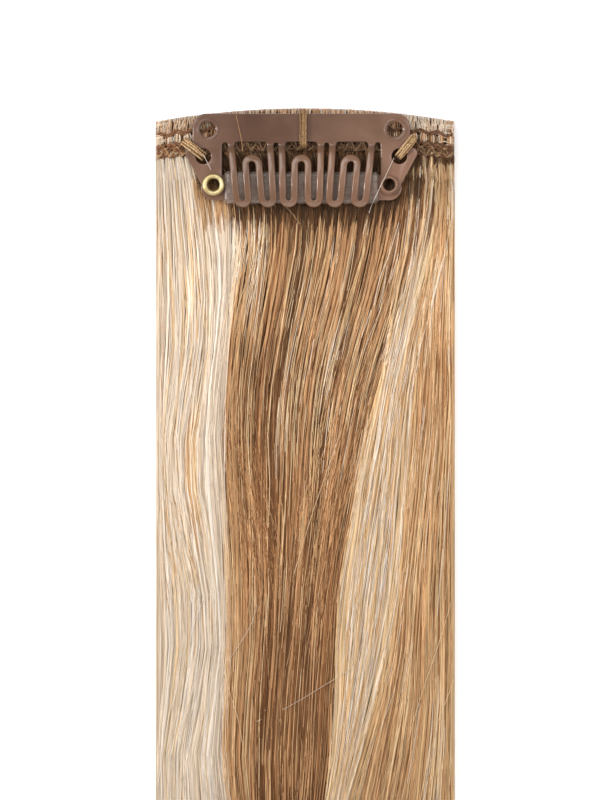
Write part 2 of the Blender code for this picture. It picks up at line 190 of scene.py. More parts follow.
# Shorter strands that surface for a while: stream, strands, place across it, lean across it,
# first row and length in the photograph's pixels, lift in millimetres and the chance of tones
ACCENTS = (
    # Painted shadow under the clip in the next three rows: dark strands from the roots, seen through the
    # comb and just below it
    ("brown", 360, (-0.04, 0.82), 0, (148, 156), (64, 84), 0.22, {"dark_brown": 0.2, "deep_brown": 0.8}),
    ("brown", 170, (-0.02, 0.84), 0, (150, 196), (40, 70), 0.18, {"dark_brown": 0.6, "deep_brown": 0.4}),
    ("white", 190, (0, 1), 0, (148, 156), (42, 52), 0.22, {"dark_brown": 0.3, "deep_brown": 0.7}),
    # Golden strands under the left ear, partly painted shade of the ear
    ("white", 150, (-0.04, 0.9), 0, (168, 194), (26, 48), 0.2, {"gold": 0.4, "tan": 0.4, "brown": 0.2}),
    # Painted shadow under the clip's right end and the braided row
    ("beige", 80, (-0.3, 0.3), 0, (148, 160), (42, 60), 0.2, {"dark_brown": 0.6, "deep_brown": 0.4}),
    ("beige", 50, (-0.1, 0.6), 0, (165, 200), (30, 90), 0.14, {"dark_brown": 0.5, "brown": 0.5}),
    # Painted shadow below the braided row at the right
    ("gold", 70, (0, 1), 0, (148, 158), (16, 34), 0.16, {"dark_brown": 0.7, "deep_brown": 0.3}),
    ("white", 60, (0.78, 1), 0.08, (420, 560), (150, 260), 0.08, {"pale_blond": 0.4, "beige": 0.6}),
    ("white", 60, (0.84, 1), 0.04, (470, 590), (160, 330), 0.1, {"tan": 0.5, "brown": 0.2, "gold": 0.3}),
    # Golden strands by the left ear's edge, partly painted shade of the ear
    ("pale", 40, (0.76, 1), 0, (160, 185), (26, 50), 0.12, {"tan": 0.5, "gold": 0.5}),
    ("brown", 260, (0.3, 0.99), 0, (380, 600), (240, 430), 0.08, {"dark_brown": 0.75, "brown": 0.25}),
    ("brown", 120, (0, 1), 0, (170, 420), (70, 260), 0.08, {"dark_brown": 0.8, "deep_brown": 0.2}),
    ("brown", 70, (0, 0.22), 0.2, (370, 470), (150, 300), 0.1, {"tan": 0.3, "caramel": 0.4, "brown": 0.3}),
    ("brown", 60, (0.7, 1.05), -0.16, (330, 470), (150, 300), 0.1, {"tan": 0.4, "brown": 0.6}),
    ("brown", 70, (-0.05, 0.12), 0, (480, 600), (120, 300), 0.09,
     {"beige": 0.35, "tan": 0.25, "brown": 0.4}),
    # Painted highlights in the next two rows: lighter strands where the hair glints
    ("brown", 110, (0.35, 1), 0, (205, 420), (40, 120), 0.11, {"pale_blond": 0.3, "beige": 0.7}),
    ("brown", 100, (0, 0.8), 0, (205, 700), (40, 140), 0.1, {"beige": 0.4, "gold": 0.6}),
    ("brown", 44, (0, 0.17), -0.03, (194, 225), (50, 150), 0.13, {"pale_blond": 0.4, "beige": 0.6}),
    # Painted highlights in the next two rows: lighter strands where the hair glints
    ("beige", 110, (0, 0.8), -0.05, (230, 700), (40, 160), 0.1, {"white_blond": 0.5, "pale_blond": 0.5}),
    ("gold", 90, (0.05, 0.95), -0.05, (190, 740), (40, 140), 0.1, {"pale_blond": 0.4, "beige": 0.6}),
    ("gold", 90, (0.1, 0.98), 0, (175, 600), (60, 220), 0.07, {"brown": 0.8, "dark_brown": 0.2}),
    # Painted highlight: white strands where the pale hair glints
    ("pale", 60, (0, 1), 0, (190, 740), (40, 140), 0.08, {"white_blond": 1}),
    ("pale", 80, (0, 0.8), 0.12, (170, 560), (60, 200), 0.06, {"tan": 0.3, "gold": 0.7}),
    ("pale", 70, (0.72, 1), 0, (385, 440), (80, 150), 0.07, {"tan": 0.4, "gold": 0.6}),
    ("brown", 110, (0.15, 0.7), 0, (310, 430), (100, 260), 0.08, {"brown": 0.6, "dark_brown": 0.4}),
    ("brown", 70, (0.3, 0.8), 0, (590, 690), (222, 230), 0.08, {"dark_brown": 0.8, "brown": 0.2}),
    ("gold", 80, (0, 0.8), 0, (240, 370), (80, 200), 0.07, {"caramel": 0.6, "brown": 0.4}),
    ("gold", 24, (0.72, 0.98), -0.03, (650, 740), (120, 222), 0.09, {"beige": 0.8, "pale_blond": 0.2}),
)

# Sway of the hair across its zones between the borders: zone, reach in pixels, first row and
# length of the wave
SWAYS = {
    "pale": (9.0, 215, 330), "brown": (3.0, 430, 420), "beige": (0.0, 0, 1), "gold": (4.0, 300, 380),
}

# Painted light and shade down the hair, darkest at the roots under the clip and above the full tone in
# places: row of the photograph and share of the full tone, below the roots and at the roots of dark and of
# pale tones, which are those whose screen colour sums to more than this
LENGTH_SHADE = ((240, 1.04), (300, 1.04), (400, 1.00), (600, 0.92), (745, 0.89), (820, 0.85))
ROOT_SHADE = (
    (105, 1.00), (136, 1.00), (148, 0.84), (162, 0.58), (190, 0.74), (214, 0.95), *LENGTH_SHADE,
)
PALE_ROOT_SHADE = (
    (105, 1.00), (136, 1.02), (148, 0.88), (162, 0.86), (190, 0.88), (214, 0.98), *LENGTH_SHADE,
)
PALE_TONE_SUM = 590

# Painted shade along the weft's stitches, deepest where the clip lies over them: column of the
# photograph and share of the full tone
WEFT_SHADE = ((155, 0.74), (196, 0.70), (215, 0.36), (395, 0.32), (412, 0.44), (455, 0.50))

# Hair and thread tones, as the eye sees them in the photograph; cream_shade and tan_shade are
# darker copies of cream and tan, painted shade for the locks' insides
TONES = {
    "white_blond": (243, 231, 217),
    "pale_blond": (233, 216, 197),
    "cream": (221, 201, 178),
    "cream_shade": (198, 170, 138),
    "beige": (232, 202, 160),
    "gold": (218, 180, 133),
    "tan": (200, 154, 109),
    "tan_shade": (132, 94, 60),
    "caramel": (186, 138, 96),
    "brown": (152, 104, 64),
    "dark_brown": (102, 64, 36),
    "deep_brown": (66, 40, 22),
}


def at_x(px):
    """X in the row frame of a column of the photograph."""
    return WEFT_LOW.x + (np.asarray(px, float) - WEFT_LEFT_PX) * WEFT_WIDTH / (WEFT_RIGHT_PX - WEFT_LEFT_PX)


def at_y(py):
    """Y in the row frame of a row of the photograph."""
    return WEFT_TOP - (np.asarray(py, float) - WEFT_TOP_PX) * PIXEL


def linear(tone):
    """Linear colour of an 8-bit screen colour."""
    shares = [c / 255 for c in tone]
    return tuple(s / 12.92 if s <= 0.04045 else ((s + 0.055) / 1.055) ** 2.4 for s in shares)


def smooth(t):
    """Smooth step from 0 to 1."""
    t = np.clip(t, 0.0, 1.0)
    return t * t * (3.0 - 2.0 * t)


def unit(vectors):
    """The vectors at a length of 1."""
    return vectors / np.linalg.norm(vectors, axis=-1, keepdims=True)


def run_length(points):
    """Length of a path up to each of its points."""
    return np.concatenate([[0], np.cumsum(np.linalg.norm(np.diff(points, axis=0), axis=1))])


def mix(first, last, share):
    """A row for each pair of numbers, at shares of the way from one to the other."""
    return first[:, None] + (last - first)[:, None] * share[None]


# Materials

# How far a tone varies along its strands, the grain of that in the object's space, and how
# much of the shading across the strands is kept
TONE_SPREAD = 0.20
PALE_SPREAD = 0.12
HAIR_GRAIN = (3400.0, 24.0, 3400.0)
ACROSS_FLATTENING = (0.45, 1.0, 1.0)


def set_inputs(shader_node, **inputs):
    """Set a shader node's inputs by name, with _ for a space."""
    for name, value in inputs.items():
        shader_node.inputs[name.replace("_", " ")].default_value = value
    return shader_node


def node(tree, kind, **inputs):
    """Add a shader node and set its inputs by name."""
    return set_inputs(tree.nodes.new(kind), **inputs)


def link(tree, source, output, target, socket):
    """Join an output of one shader node to an input of another."""
    tree.links.new(source.outputs[output], target.inputs[socket])


def principled(name, **inputs):
    """A material with a Principled shader; returns it, its tree and the shader."""
    made = bpy.data.materials.new(name)
    made.use_nodes = True
    return made, made.node_tree, set_inputs(made.node_tree.nodes["Principled BSDF"], **inputs)


def stretched_noise(tree, stretch, detail=3.0):
    """Noise in the object's own space, with one frequency for each axis."""
    where = tree.nodes.new("ShaderNodeTexCoord")
    mapping = node(tree, "ShaderNodeMapping", Scale=stretch)
    noise = node(tree, "ShaderNodeTexNoise", Scale=1.0, Detail=detail)
    link(tree, where, "Object", mapping, "Vector")
    link(tree, mapping, "Vector", noise, "Vector")
    return noise


def two_tones(tree, noise, low_tone, high_tone, low=0.35, high=0.65):
    """Colour ramp between two linear colours, by a noise."""
    ramp = tree.nodes.new("ShaderNodeValToRGB")
    for stop, place, tone in zip(ramp.color_ramp.elements, (low, high), (low_tone, high_tone)):
        stop.position = place
        stop.color = (*tone, 1.0)
    link(tree, noise, "Fac", ramp, "Fac")
    return ramp.outputs["Color"]


def bump(tree, shader, noise, strength, distance):
    """Feed a noise into the shader's normal as a height."""
    made = node(tree, "ShaderNodeBump", Strength=strength, Distance=distance)
    link(tree, noise, "Fac", made, "Height")
    link(tree, made, "Normal", shader, "Normal")


def shade_along(tree, axis, stops):
    """Factor from stops of a place and a level, or three, along one axis of the object's space."""
    where = tree.nodes.new("ShaderNodeTexCoord")
    split = tree.nodes.new("ShaderNodeSeparateXYZ")
    link(tree, where, "Object", split, "Vector")
    first, last = stops[0][0], stops[-1][0]
    spread = node(tree, "ShaderNodeMapRange", From_Min=first, From_Max=last)
    link(tree, split, axis, spread, "Value")
    ramp = tree.nodes.new("ShaderNodeValToRGB")
    for i, (place, level) in enumerate(stops):
        share = (place - first) / (last - first)
        stop = ramp.color_ramp.elements[i] if i < 2 else ramp.color_ramp.elements.new(share)
        stop.position = share
        stop.color = (*np.broadcast_to(level, 3), 1.0)
    link(tree, spread, "Result", ramp, "Fac")
    return ramp.outputs["Color"]


def times(tree, first, second):
    """Product of two colours."""
    made = node(tree, "ShaderNodeMix", Factor=1.0)
    made.data_type = "RGBA"
    made.blend_type = "MULTIPLY"
    tree.links.new(first, made.inputs["A"])
    tree.links.new(second, made.inputs["B"])
    return made.outputs["Result"]


def hair_material(name):
    """Hair of one tone, lighter and darker at random along its strands, with painted light and shade down
    them, and soft shaded across them.
    """
    pale = sum(TONES[name]) > PALE_TONE_SUM
    spread = PALE_SPREAD if pale else TONE_SPREAD
    made, tree, shader = principled(
        "hair_" + name, Roughness=0.36, Specular_IOR_Level=0.42, Specular_Tint=(1.0, 0.80, 0.58, 1.0)
    )
    noise = stretched_noise(tree, HAIR_GRAIN, 2.0)
    low = tuple(c * (1.0 - spread) for c in linear(TONES[name]))
    high = tuple(min(1.0, c * (1.0 + spread)) for c in linear(TONES[name]))
    colour = two_tones(tree, noise, low, high)
    shade = PALE_ROOT_SHADE if pale else ROOT_SHADE
    stops = [(float(at_y(row)), level) for row, level in shade[::-1]]
    tree.links.new(times(tree, colour, shade_along(tree, "Y", stops)), shader.inputs["Base Color"])
    surface = tree.nodes.new("ShaderNodeNewGeometry")
    squash = tree.nodes.new("ShaderNodeVectorMath")
    squash.operation = "MULTIPLY"
    squash.inputs[1].default_value = ACROSS_FLATTENING
    unit = tree.nodes.new("ShaderNodeVectorMath")
    unit.operation = "NORMALIZE"
    link(tree, surface, "Normal", squash, 0)
    link(tree, squash, "Vector", unit, 0)
    link(tree, unit, "Vector", shader, "Normal")
    return made


def paint_material(name, across, down):
    """Satin brown paint with a faint orange peel, and painted light and shade across and down the stops."""
    made, tree, shader = principled(
        name, Roughness=0.38, Specular_IOR_Level=0.25, Coat_Weight=0.7, Coat_Roughness=0.14
    )
    patches = stretched_noise(tree, (260.0, 320.0, 260.0))
    colour = two_tones(tree, patches, (0.146, 0.073, 0.043), (0.184, 0.096, 0.060))
    colour = times(tree, colour, shade_along(tree, "X", across))
    tree.links.new(times(tree, colour, shade_along(tree, "Y", down)), shader.inputs["Base Color"])
    peel = stretched_noise(tree, (5200.0, 5200.0, 5200.0), 2.0)
    bump(tree, shader, peel, 0.25, 0.00002)
    return made


def brass_material():
    """Pale rolled brass with fine turning marks."""
    made, tree, shader = principled("brass", Roughness=0.48, Metallic=1.0)
    marks = stretched_noise(tree, (900.0, 900.0, 6000.0))
    colour = two_tones(tree, marks, (0.46, 0.35, 0.15), (0.80, 0.66, 0.38))
    tree.links.new(colour, shader.inputs["Base Color"])
    bump(tree, shader, marks, 0.3, 0.00003)
    return made


def silicone_material():
    """Clear silicone with a milky cast."""
    made, tree, shader = principled("silicone", Roughness=0.22, Transmission_Weight=0.80, IOR=1.41)
    haze = stretched_noise(tree, (900.0, 1600.0, 1600.0))
    colour = two_tones(tree, haze, (0.62, 0.47, 0.38), (0.84, 0.70, 0.60))
    tree.links.new(colour, shader.inputs["Base Color"])
    bump(tree, shader, haze, 0.15, 0.00003)
    return made


def thread_material(name, low, high, shaded=False):
    """Spun thread: fibre streaks and a soft surface; when shaded, painted shade that is deepest where the
    clip lies over it.
    """
    made, tree, shader = principled(name, Roughness=0.62)
    fibres = stretched_noise(tree, (4200.0, 4200.0, 4200.0), 4.0)
    colour = two_tones(tree, fibres, linear(low), linear(high), 0.30, 0.70)
    if shaded:
        stops = [(float(at_x(column)), level) for column, level in WEFT_SHADE]
        colour = times(tree, colour, shade_along(tree, "X", stops))
    tree.links.new(colour, shader.inputs["Base Color"])
    bump(tree, shader, fibres, 0.6, 0.00004)
    return made


# Mesh makers


def new_object(name, data):
    """An object of the data, in the scene."""
    made = bpy.data.objects.new(name, data)
    bpy.context.scene.collection.objects.link(made)
    return made


def add_object(name, mesh, materials):
    """An object of a mesh, smooth shaded, with its materials."""
    for material in materials:
        mesh.materials.append(material)
    mesh.polygons.foreach_set("use_smooth", np.ones(len(mesh.polygons), bool))
    return new_object(name, mesh)


def quads_between(index):
    """Quads between the rings of a grid of point numbers, which is closed along its last axis."""
    after = np.roll(index, -1, axis=-1)
    corners = index[..., :-1, :], after[..., :-1, :], after[..., 1:, :], index[..., 1:, :]
    return np.stack(corners, axis=-1).reshape(-1, 4)


def quads_around(index, first, second):
    """Quads of a grid of point numbers that is closed along both of its axes."""
    after = np.roll(index, -1, first)
    corners = index, after, np.roll(after, -1, second), np.roll(index, -1, second)
    return np.stack(corners, axis=-1).reshape(-1, 4)


def mesh_from_faces(name, points, quads, caps, slots):
    """Mesh from arrays: quads, then end caps of one size, and a material slot for each."""
    mesh = bpy.data.meshes.new(name)
    loops = np.concatenate([quads.ravel(), caps.ravel()]).astype(np.int32)
    sizes = np.concatenate([np.full(len(quads), 4), np.full(len(caps), caps.shape[1] if len(caps) else 0)])
    starts = np.concatenate([[0], np.cumsum(sizes)[:-1]]).astype(np.int32)
    mesh.vertices.add(len(points))
    mesh.vertices.foreach_set("co", points.astype(np.float32).ravel())
    mesh.loops.add(len(loops))
    mesh.loops.foreach_set("vertex_index", loops)
    mesh.polygons.add(len(sizes))
    mesh.polygons.foreach_set("loop_start", starts)
    mesh.polygons.foreach_set("material_index", slots.astype(np.int32))
    mesh.update(calc_edges=True)
    mesh.validate()
    return mesh


def closed_object(name, points, faces, materials, slots=None):
    """Closed body of quads, which all face outwards."""
    points = points.reshape(-1, 3)
    a, b, c, d = (points[faces[:, i]] for i in range(4))
    if (a * np.cross(b, c)).sum() + (a * np.cross(c, d)).sum() < 0:
        faces = faces[:, ::-1]
    slots = np.zeros(len(faces), int) if slots is None else slots
    mesh = mesh_from_faces(name, points, faces, np.zeros((0, 0), int), slots)
    return add_object(name, mesh, materials)


def tubes(name, paths, radii, materials, tones=None, sides=3, across=(1.0, 0.0, 0.0)):
    """Closed tubes along many paths at once, joined in one mesh.

    paths is (tube, point, 3), radii is (tube, point), tones is a material slot for each tube.
    """
    paths = np.asarray(paths, float)
    count, steps, _ = paths.shape
    radii = np.broadcast_to(np.asarray(radii, float), (count, steps))
    tangent = unit(np.gradient(paths, axis=1))
    hint = np.broadcast_to(np.asarray(across, float).reshape(-1, 1, 3), paths.shape)
    side = unit(hint - tangent * (tangent * hint).sum(axis=2, keepdims=True))
    up = np.cross(tangent, side)
    angle = 2 * math.pi * np.arange(sides) / sides
    turn = (
        side[:, :, None] * np.cos(angle)[None, None, :, None]
        + up[:, :, None] * np.sin(angle)[None, None, :, None]
    )
    points = paths[:, :, None] + radii[:, :, None, None] * turn
    index = np.arange(count * steps * sides).reshape(count, steps, sides)
    caps = np.concatenate([index[:, 0, ::-1], index[:, -1]])
    tones = np.zeros(count, int) if tones is None else np.asarray(tones)
    slots = np.concatenate([np.repeat(tones, (steps - 1) * sides), tones, tones])
    mesh = mesh_from_faces(name, points.reshape(-1, 3), quads_between(index), caps, slots)
    return add_object(name, mesh, materials)


def loft(name, rings, materials, slots=None):
    """Closed body through rings whose second half mirrors the first underneath."""
    rings = np.asarray(rings, float)
    rows, size, _ = rings.shape
    index = np.arange(rows * size).reshape(rows, size)
    half = size // 2
    k = np.arange(half - 1)
    ends = []
    for row, flip in ((0, True), (rows - 1, False)):
        ring = index[row]
        cap = np.stack([ring[k], ring[k + 1], ring[size - 2 - k], ring[size - 1 - k]], -1)
        ends.append(cap[:, ::-1] if flip else cap)
    return closed_object(name, rings, np.concatenate([quads_between(index), *ends]), materials, slots)


def turned(name, profile, centre, material, steps=72):
    """Turn a closed profile of radius and height about the vertical through centre."""
    profile = np.asarray(profile, float)
    angle = 2 * math.pi * np.arange(steps) / steps
    points = np.stack(
        [
            centre[0] + profile[:, 0][None] * np.cos(angle)[:, None],
            centre[1] + profile[:, 0][None] * np.sin(angle)[:, None],
            np.broadcast_to(profile[:, 1], (steps, len(profile))),
        ],
        axis=-1,
    )
    index = np.arange(steps * len(profile)).reshape(steps, -1)
    return closed_object(name, points, quads_around(index, 0, 1), [material])


# The clip's sheet


def arc(centre, radius, start_deg, end_deg, steps):
    """Points on an arc, both ends included."""
    angle = np.radians(np.linspace(start_deg, end_deg, steps + 1))
    return np.stack([centre[0] + radius * np.cos(angle), centre[1] + radius * np.sin(angle)], axis=-1)


def hole(x, y, radius):
    """Points round a hole."""
    return arc((x, y), radius, 0, 350, 35)


def oval(centre, half, height, start_deg, end_deg, steps):
    """Points on an arc of an upright or lying oval, both ends included."""
    return arc((0.0, 0.0), 1.0, start_deg, end_deg, steps) * (half, height) + centre


def run_between(first, last, step=0.0003):
    """Points along a straight run, both ends included."""
    first, last = np.asarray(first, float), np.asarray(last, float)
    steps = max(1, round(np.linalg.norm(last - first) / step))
    return first + (last - first) * np.linspace(0, 1, steps + 1)[:, None]


def comb_middle_line(run):
    """Middle line of one W, from its left root to its right root, in the clip's plane."""
    tip_pitch = COMB_PITCH - COMB_LEAN
    root_half = (COMB_PITCH - COMB_SLOT - COMB_BAR) / 2
    tip_half = (tip_pitch - COMB_TIP_SLOT - COMB_BAR) / 2
    loop_radius = (COMB_LOOP_GAP + COMB_BAR) / 2
    arch_half = (COMB_ARCH_GAP + COMB_BAR) / 2
    loop_middle = tip_half - loop_radius
    left = np.concatenate(
        [
            run_between((-root_half, -COMB_BAR / 2), (-tip_half, -COMB_LOOP_DROP))[:-1],
            arc((-loop_middle, -COMB_LOOP_DROP), loop_radius, 180, 360, 20),
            run_between((-loop_middle + loop_radius, -COMB_LOOP_DROP), (-arch_half, -COMB_ARCH_DROP))[1:-1],
            arc((0.0, -COMB_ARCH_DROP), arch_half, 180, 90, 12),
        ]
    )
    line = np.concatenate([left, left[-2::-1] * (-1, 1)])
    line[:, 0] += run * (COMB_PITCH + COMB_LEAN * line[:, 1] / COMB_LOOP_DROP)
    return line


def offset_line(line, distance):
    """The line moved to its left by a distance."""
    tangent = unit(np.gradient(line, axis=0))
    return line + distance * np.stack([-tangent[:, 1], tangent[:, 0]], axis=-1)


def outer_tangent_deg(centre_a, radius_a, centre_b, radius_b):
    """Direction from both centres to the line that touches both circles on their right."""
    dx, dy = centre_b[0] - centre_a[0], centre_b[1] - centre_a[1]
    turn = math.acos((radius_a - radius_b) / math.hypot(dx, dy))
    return math.degrees(math.atan2(dy, dx) + turn)


def sheet_outlines():
    """Edge, windows and holes of the whole stamped sheet, from the middle of its top edge."""
    root = -BAR_HEIGHT
    rivet = (RIVET_HALF, RIVET_Y - CLIP_TOP)
    corner = (SHOULDER_HALF - CORNER_RADIUS, -CORNER_RADIUS)
    notch = (SHOULDER_HALF + NOTCH_RADIUS, root - NOTCH_RADIUS / 2)
    lobe = (CLIP_WIDTH / 2 - LOBE_RADIUS, notch[1] - NOTCH_RADIUS - LOBE_RADIUS)
    slant = outer_tangent_deg(lobe, LOBE_RADIUS, rivet, EAR_END_RADIUS)
    inner = math.degrees(math.acos((OPENING_HALF - RIVET_HALF) / EAR_END_RADIUS))
    lines = [comb_middle_line(i - (COMB_RUNS - 1) / 2) + (0, root) for i in range(COMB_RUNS)]
    outsides = [offset_line(line, -COMB_BAR / 2) for line in lines]

    def slot_top(left_x, right_x):
        radius = (right_x - left_x) / 2
        return arc(((left_x + right_x) / 2, root - COMB_BAR / 2), radius, 0, 180, 12)[1:-1]

    right_ear = np.concatenate(
        [
            arc(corner, CORNER_RADIUS, 90, 0, 14),
            arc(notch, NOTCH_RADIUS, 180, 240, 6),
            arc(lobe, LOBE_RADIUS, 75, slant, 10),
            arc(rivet, EAR_END_RADIUS, slant, -inner, 20),
            run_between((OPENING_HALF, rivet[1]), (OPENING_HALF, root - COMB_BAR / 2))[1:],
        ]
    )
    left_ear = right_ear[::-1] * (-1, 1)
    edge = [right_ear, slot_top(outsides[-1][-1, 0], OPENING_HALF)]
    for i in range(COMB_RUNS - 1, -1, -1):
        edge.append(outsides[i][::-1])
        left_x = outsides[i - 1][-1, 0] if i else -OPENING_HALF
        edge.append(slot_top(left_x, outsides[i][0, 0]))
    edge.append(left_ear)

    outlines = [np.concatenate(edge)]
    for line in lines:
        inside = offset_line(line, COMB_BAR / 2)
        fillet = COMB_BAR / 2
        left_corner = arc((inside[0, 0] + fillet, root - fillet), fillet, 90, 180, 6)[:-1]
        right_corner = arc((inside[-1, 0] - fillet, root - fillet), fillet, 0, 90, 6)[1:]
        outlines.append(np.concatenate([left_corner, inside, right_corner]))
    for side in (-1, 1):
        for x, y in (UPPER_HOLE, LOWER_HOLE):
            outlines.append(hole(side * x, y, SEWING_HOLE_RADIUS))
        outlines.append(hole(side * rivet[0], rivet[1], RIVET_HOLE_RADIUS))
    return outlines


def flat_sheet(outlines, thickness, rounding):
    """Mesh of a flat piece with rounded edges: its edge and then its holes, in its plane."""
    data = bpy.data.curves.new("outline", "CURVE")
    data.dimensions = "2D"
    data.fill_mode = "BOTH"
    data.extrude = thickness / 2 - rounding
    data.bevel_depth = rounding
    data.bevel_resolution = 2
    data.offset = -rounding
    for outline in outlines:
        spline = data.splines.new("POLY")
        spline.points.add(len(outline) - 1)
        co = np.zeros((len(outline), 4))
        co[:, :2] = outline
        co[:, 3] = 1.0
        spline.points.foreach_set("co", co.ravel())
        spline.use_cyclic_u = True
    curve = new_object("outline", data)
    graph = bpy.context.evaluated_depsgraph_get()
    mesh = bpy.data.meshes.new_from_object(curve.evaluated_get(graph))
    bpy.data.objects.remove(curve)
    body = bmesh.new()
    body.from_mesh(mesh)
    bmesh.ops.remove_doubles(body, verts=body.verts, dist=1e-6)
    bmesh.ops.recalc_face_normals(body, faces=body.faces)
    return body


def finish_sheet(name, body, material):
    """Write a bmesh to an object, with its flats kept flat under smooth shading."""
    mesh = bpy.data.meshes.new(name)
    body.to_mesh(mesh)
    body.free()
    made = add_object(name, mesh, [material])
    weights = made.modifiers.new("flats", "WEIGHTED_NORMAL")
    weights.keep_sharp = True
    return made


def comb_rise(depth):
    """Height of the bowed comb above the sheet, at a depth below the bar."""
    share = np.clip(depth / COMB_REACH, 0.0, None)
    rise = COMB_TIP_RISE * share + COMB_BOW * 4.0 * share * (1.0 - share)
    return rise * smooth((depth - COMB_SEAM_DROP / 2) / COMB_START_RUN)


def make_clip(paint, comb_lit_paint):
    """The stamped sheet, split at the roots of the comb into the clip's sheet and the comb's sheet."""
    body = flat_sheet(sheet_outlines(), SHEET_THICKNESS, SHEET_ROUNDING)
    seam = -BAR_HEIGHT - COMB_SEAM_DROP
    reach = OPENING_HALF - COMB_SLOT / 3

    def in_opening(vert):
        return abs(vert.co.x) < reach and vert.co.y < -BAR_HEIGHT * 0.5

    faces = [f for f in body.faces if all(in_opening(v) for v in f.verts)]
    edges = list({e for f in faces for e in f.edges})
    verts = list({v for f in faces for v in f.verts})
    bmesh.ops.bisect_plane(
        body, geom=verts + edges + faces, dist=1e-7, plane_co=(0, seam, 0), plane_no=(0, 1, 0)
    )
    for vert in body.verts:
        x, y, z = vert.co
        lift = comb_rise(-BAR_HEIGHT - y) if abs(x) < reach and y < -BAR_HEIGHT else 0.0
        vert.co = (CLIP_X + x, CLIP_TOP + y, SHEET_MIDDLE + z + lift)

    pieces = {}
    for name, is_comb in (("clip_sheet", False), ("comb_sheet", True)):
        half = body.copy()
        drop = []
        for face in half.faces:
            middle = face.calc_center_median()
            inside = abs(middle.x - CLIP_X) < reach and middle.y < CLIP_TOP + seam
            if inside != is_comb:
                drop.append(face)
        bmesh.ops.delete(half, geom=drop, context="FACES")
        rim = [e for e in half.edges if e.is_boundary]
        for edge in rim:
            edge.smooth = False
        bmesh.ops.holes_fill(half, edges=rim, sides=0)
        bmesh.ops.recalc_face_normals(half, faces=half.faces)
        pieces[name] = finish_sheet(name, half, comb_lit_paint if is_comb else paint)
    body.free()

    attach(pieces["clip_sheet"], "clip")
    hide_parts("clip_plate")
    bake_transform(pieces["comb_sheet"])
    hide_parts("comb_left", "comb_middle", "comb_right")


def stadium(half_length, half_height, steps):
    """A rounded slot shape about the origin."""
    right = arc((half_length, 0.0), half_height, -90, 90, steps)
    return np.concatenate([right, -right])


def make_crossbar(paint):
    """The flat bar behind the comb."""
    holes = [hole(side * RIVET_HALF, RIVET_Y - BAR_Y, RIVET_HOLE_RADIUS) for side in (-1, 1)]
    height = (BAR_HIGH.y - BAR_LOW.y) / 2
    body = flat_sheet([stadium(RIVET_HALF, height, 20), *holes], SHEET_THICKNESS, BAR_ROUNDING)
    for vert in body.verts:
        vert.co += Vector((CLIP_X, BAR_Y, BAR_MIDDLE))
    bar = finish_sheet("crossbar_sheet", body, paint)
    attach(bar, "clip")
    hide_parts("crossbar")


def make_sleeve(silicone):
    """The silicone tube, with rounded ends and a slightly uneven wall."""
    rng = np.random.default_rng(11)
    half_height = (SLEEVE_HIGH.z - SLEEVE_LOW.z) / 2
    half_width = (SLEEVE_HIGH.y - SLEEVE_LOW.y) / 2
    wall, end_rounding, end_shrink, wobble_reach = 0.00028, 0.00025, 0.00012, 0.000012
    outer = stadium(half_width - half_height, half_height, 10)
    inner = stadium(half_width - half_height, half_height - wall, 10)
    outer_steps = np.linspace(0, 1, 61)
    length = SLEEVE_HIGH.x - SLEEVE_LOW.x
    wobble = rng.normal(0, wobble_reach, (len(outer_steps), 1))
    rings = []
    for step, share in enumerate(outer_steps):
        end = min(share, 1 - share) * length
        shrink = end_shrink * max(0.0, 1 - end / end_rounding)
        size = 1.0 + (wobble[step, 0] - shrink) / half_height
        rings.append((SLEEVE_LOW.x + share * length, outer * size))
    rings += [(SLEEVE_LOW.x + share * length, inner) for share in outer_steps[::-1]]
    points = np.zeros((len(rings), len(outer), 3))
    for row, (x, section) in enumerate(rings):
        points[row, :, 0] = x
        points[row, :, 1] = BAR_Y + section[:, 0]
        points[row, :, 2] = BAR_MIDDLE + section[:, 1]
    index = np.arange(points.shape[0] * points.shape[1]).reshape(points.shape[:2])
    sleeve = closed_object("sleeve_tube", points, quads_around(index, 1, 0), [silicone])
    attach(sleeve, "clip")
    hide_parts("silicone_sleeve")


def make_eyelet(name, node_name, side, flange_radius, material):
    """A rolled eyelet: domed flange, bore and turned-over back."""
    low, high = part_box(node_name)
    bore, barrel, back_radius = 0.0008, 0.00095, 0.0014
    top_seat, back_seat = SHEET_TOP + 0.00004, BAR_LOW.z - 0.00004
    rings = (
        (flange_radius, top_seat, high.z - top_seat, 0, 180, 14),
        (back_radius, back_seat, back_seat - low.z, 180, 360, 10),
    )
    profile = []
    for radius, seat, height, start_deg, end_deg, steps in rings:
        middle, half = ((radius + bore) / 2, seat), (radius - bore) / 2
        profile += [*oval(middle, half, height, start_deg, end_deg, steps)]
    profile += [(barrel, back_seat), (barrel, top_seat)]
    eyelet = turned(name, profile, (CLIP_X + side * RIVET_HALF, RIVET_Y), material)
    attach(eyelet, "clip")
    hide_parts(node_name)


def make_hole_rims(paint):
    """Faint raised rims that the punch left round the upper sewing holes."""
    for name, side in (("hole_rim_left", -1), ("hole_rim_right", 1)):
        middle, half, height = SEWING_HOLE_RADIUS + 0.00034, 0.00018, 0.00011
        profile = [*oval((middle, SHEET_TOP - 0.00002), half, height, 180, 0, 8)]
        profile += [(middle + half, SHEET_TOP - 0.00006), (middle - half, SHEET_TOP - 0.00006)]
        centre = (CLIP_X + side * UPPER_HOLE[0], CLIP_TOP + UPPER_HOLE[1])
        rim = turned(name, profile, centre, paint)
        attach(rim, "clip")


# Threads


# A sewing thread of two plies, the length of their twist, the passes and width of the bundles,
# how far a pass drifts as a share of the width, and how it sways, spreads and rises half way
THREAD_RADIUS = 0.00013
PLY_RADIUS = 0.00008
TWIST_PITCH = (0.0007, 0.0010)
BAR_PASSES, BAR_SPREAD = 7, 0.00084
EAR_PASSES, EAR_SPREAD = 6, 0.00100
PASS_DRIFT = 0.16
PASS_SWAY = 0.00003
PASS_SWELL = 0.20
PASS_LIFT = (-0.00008, 0.00012)
PASS_ARCH = 0.00010


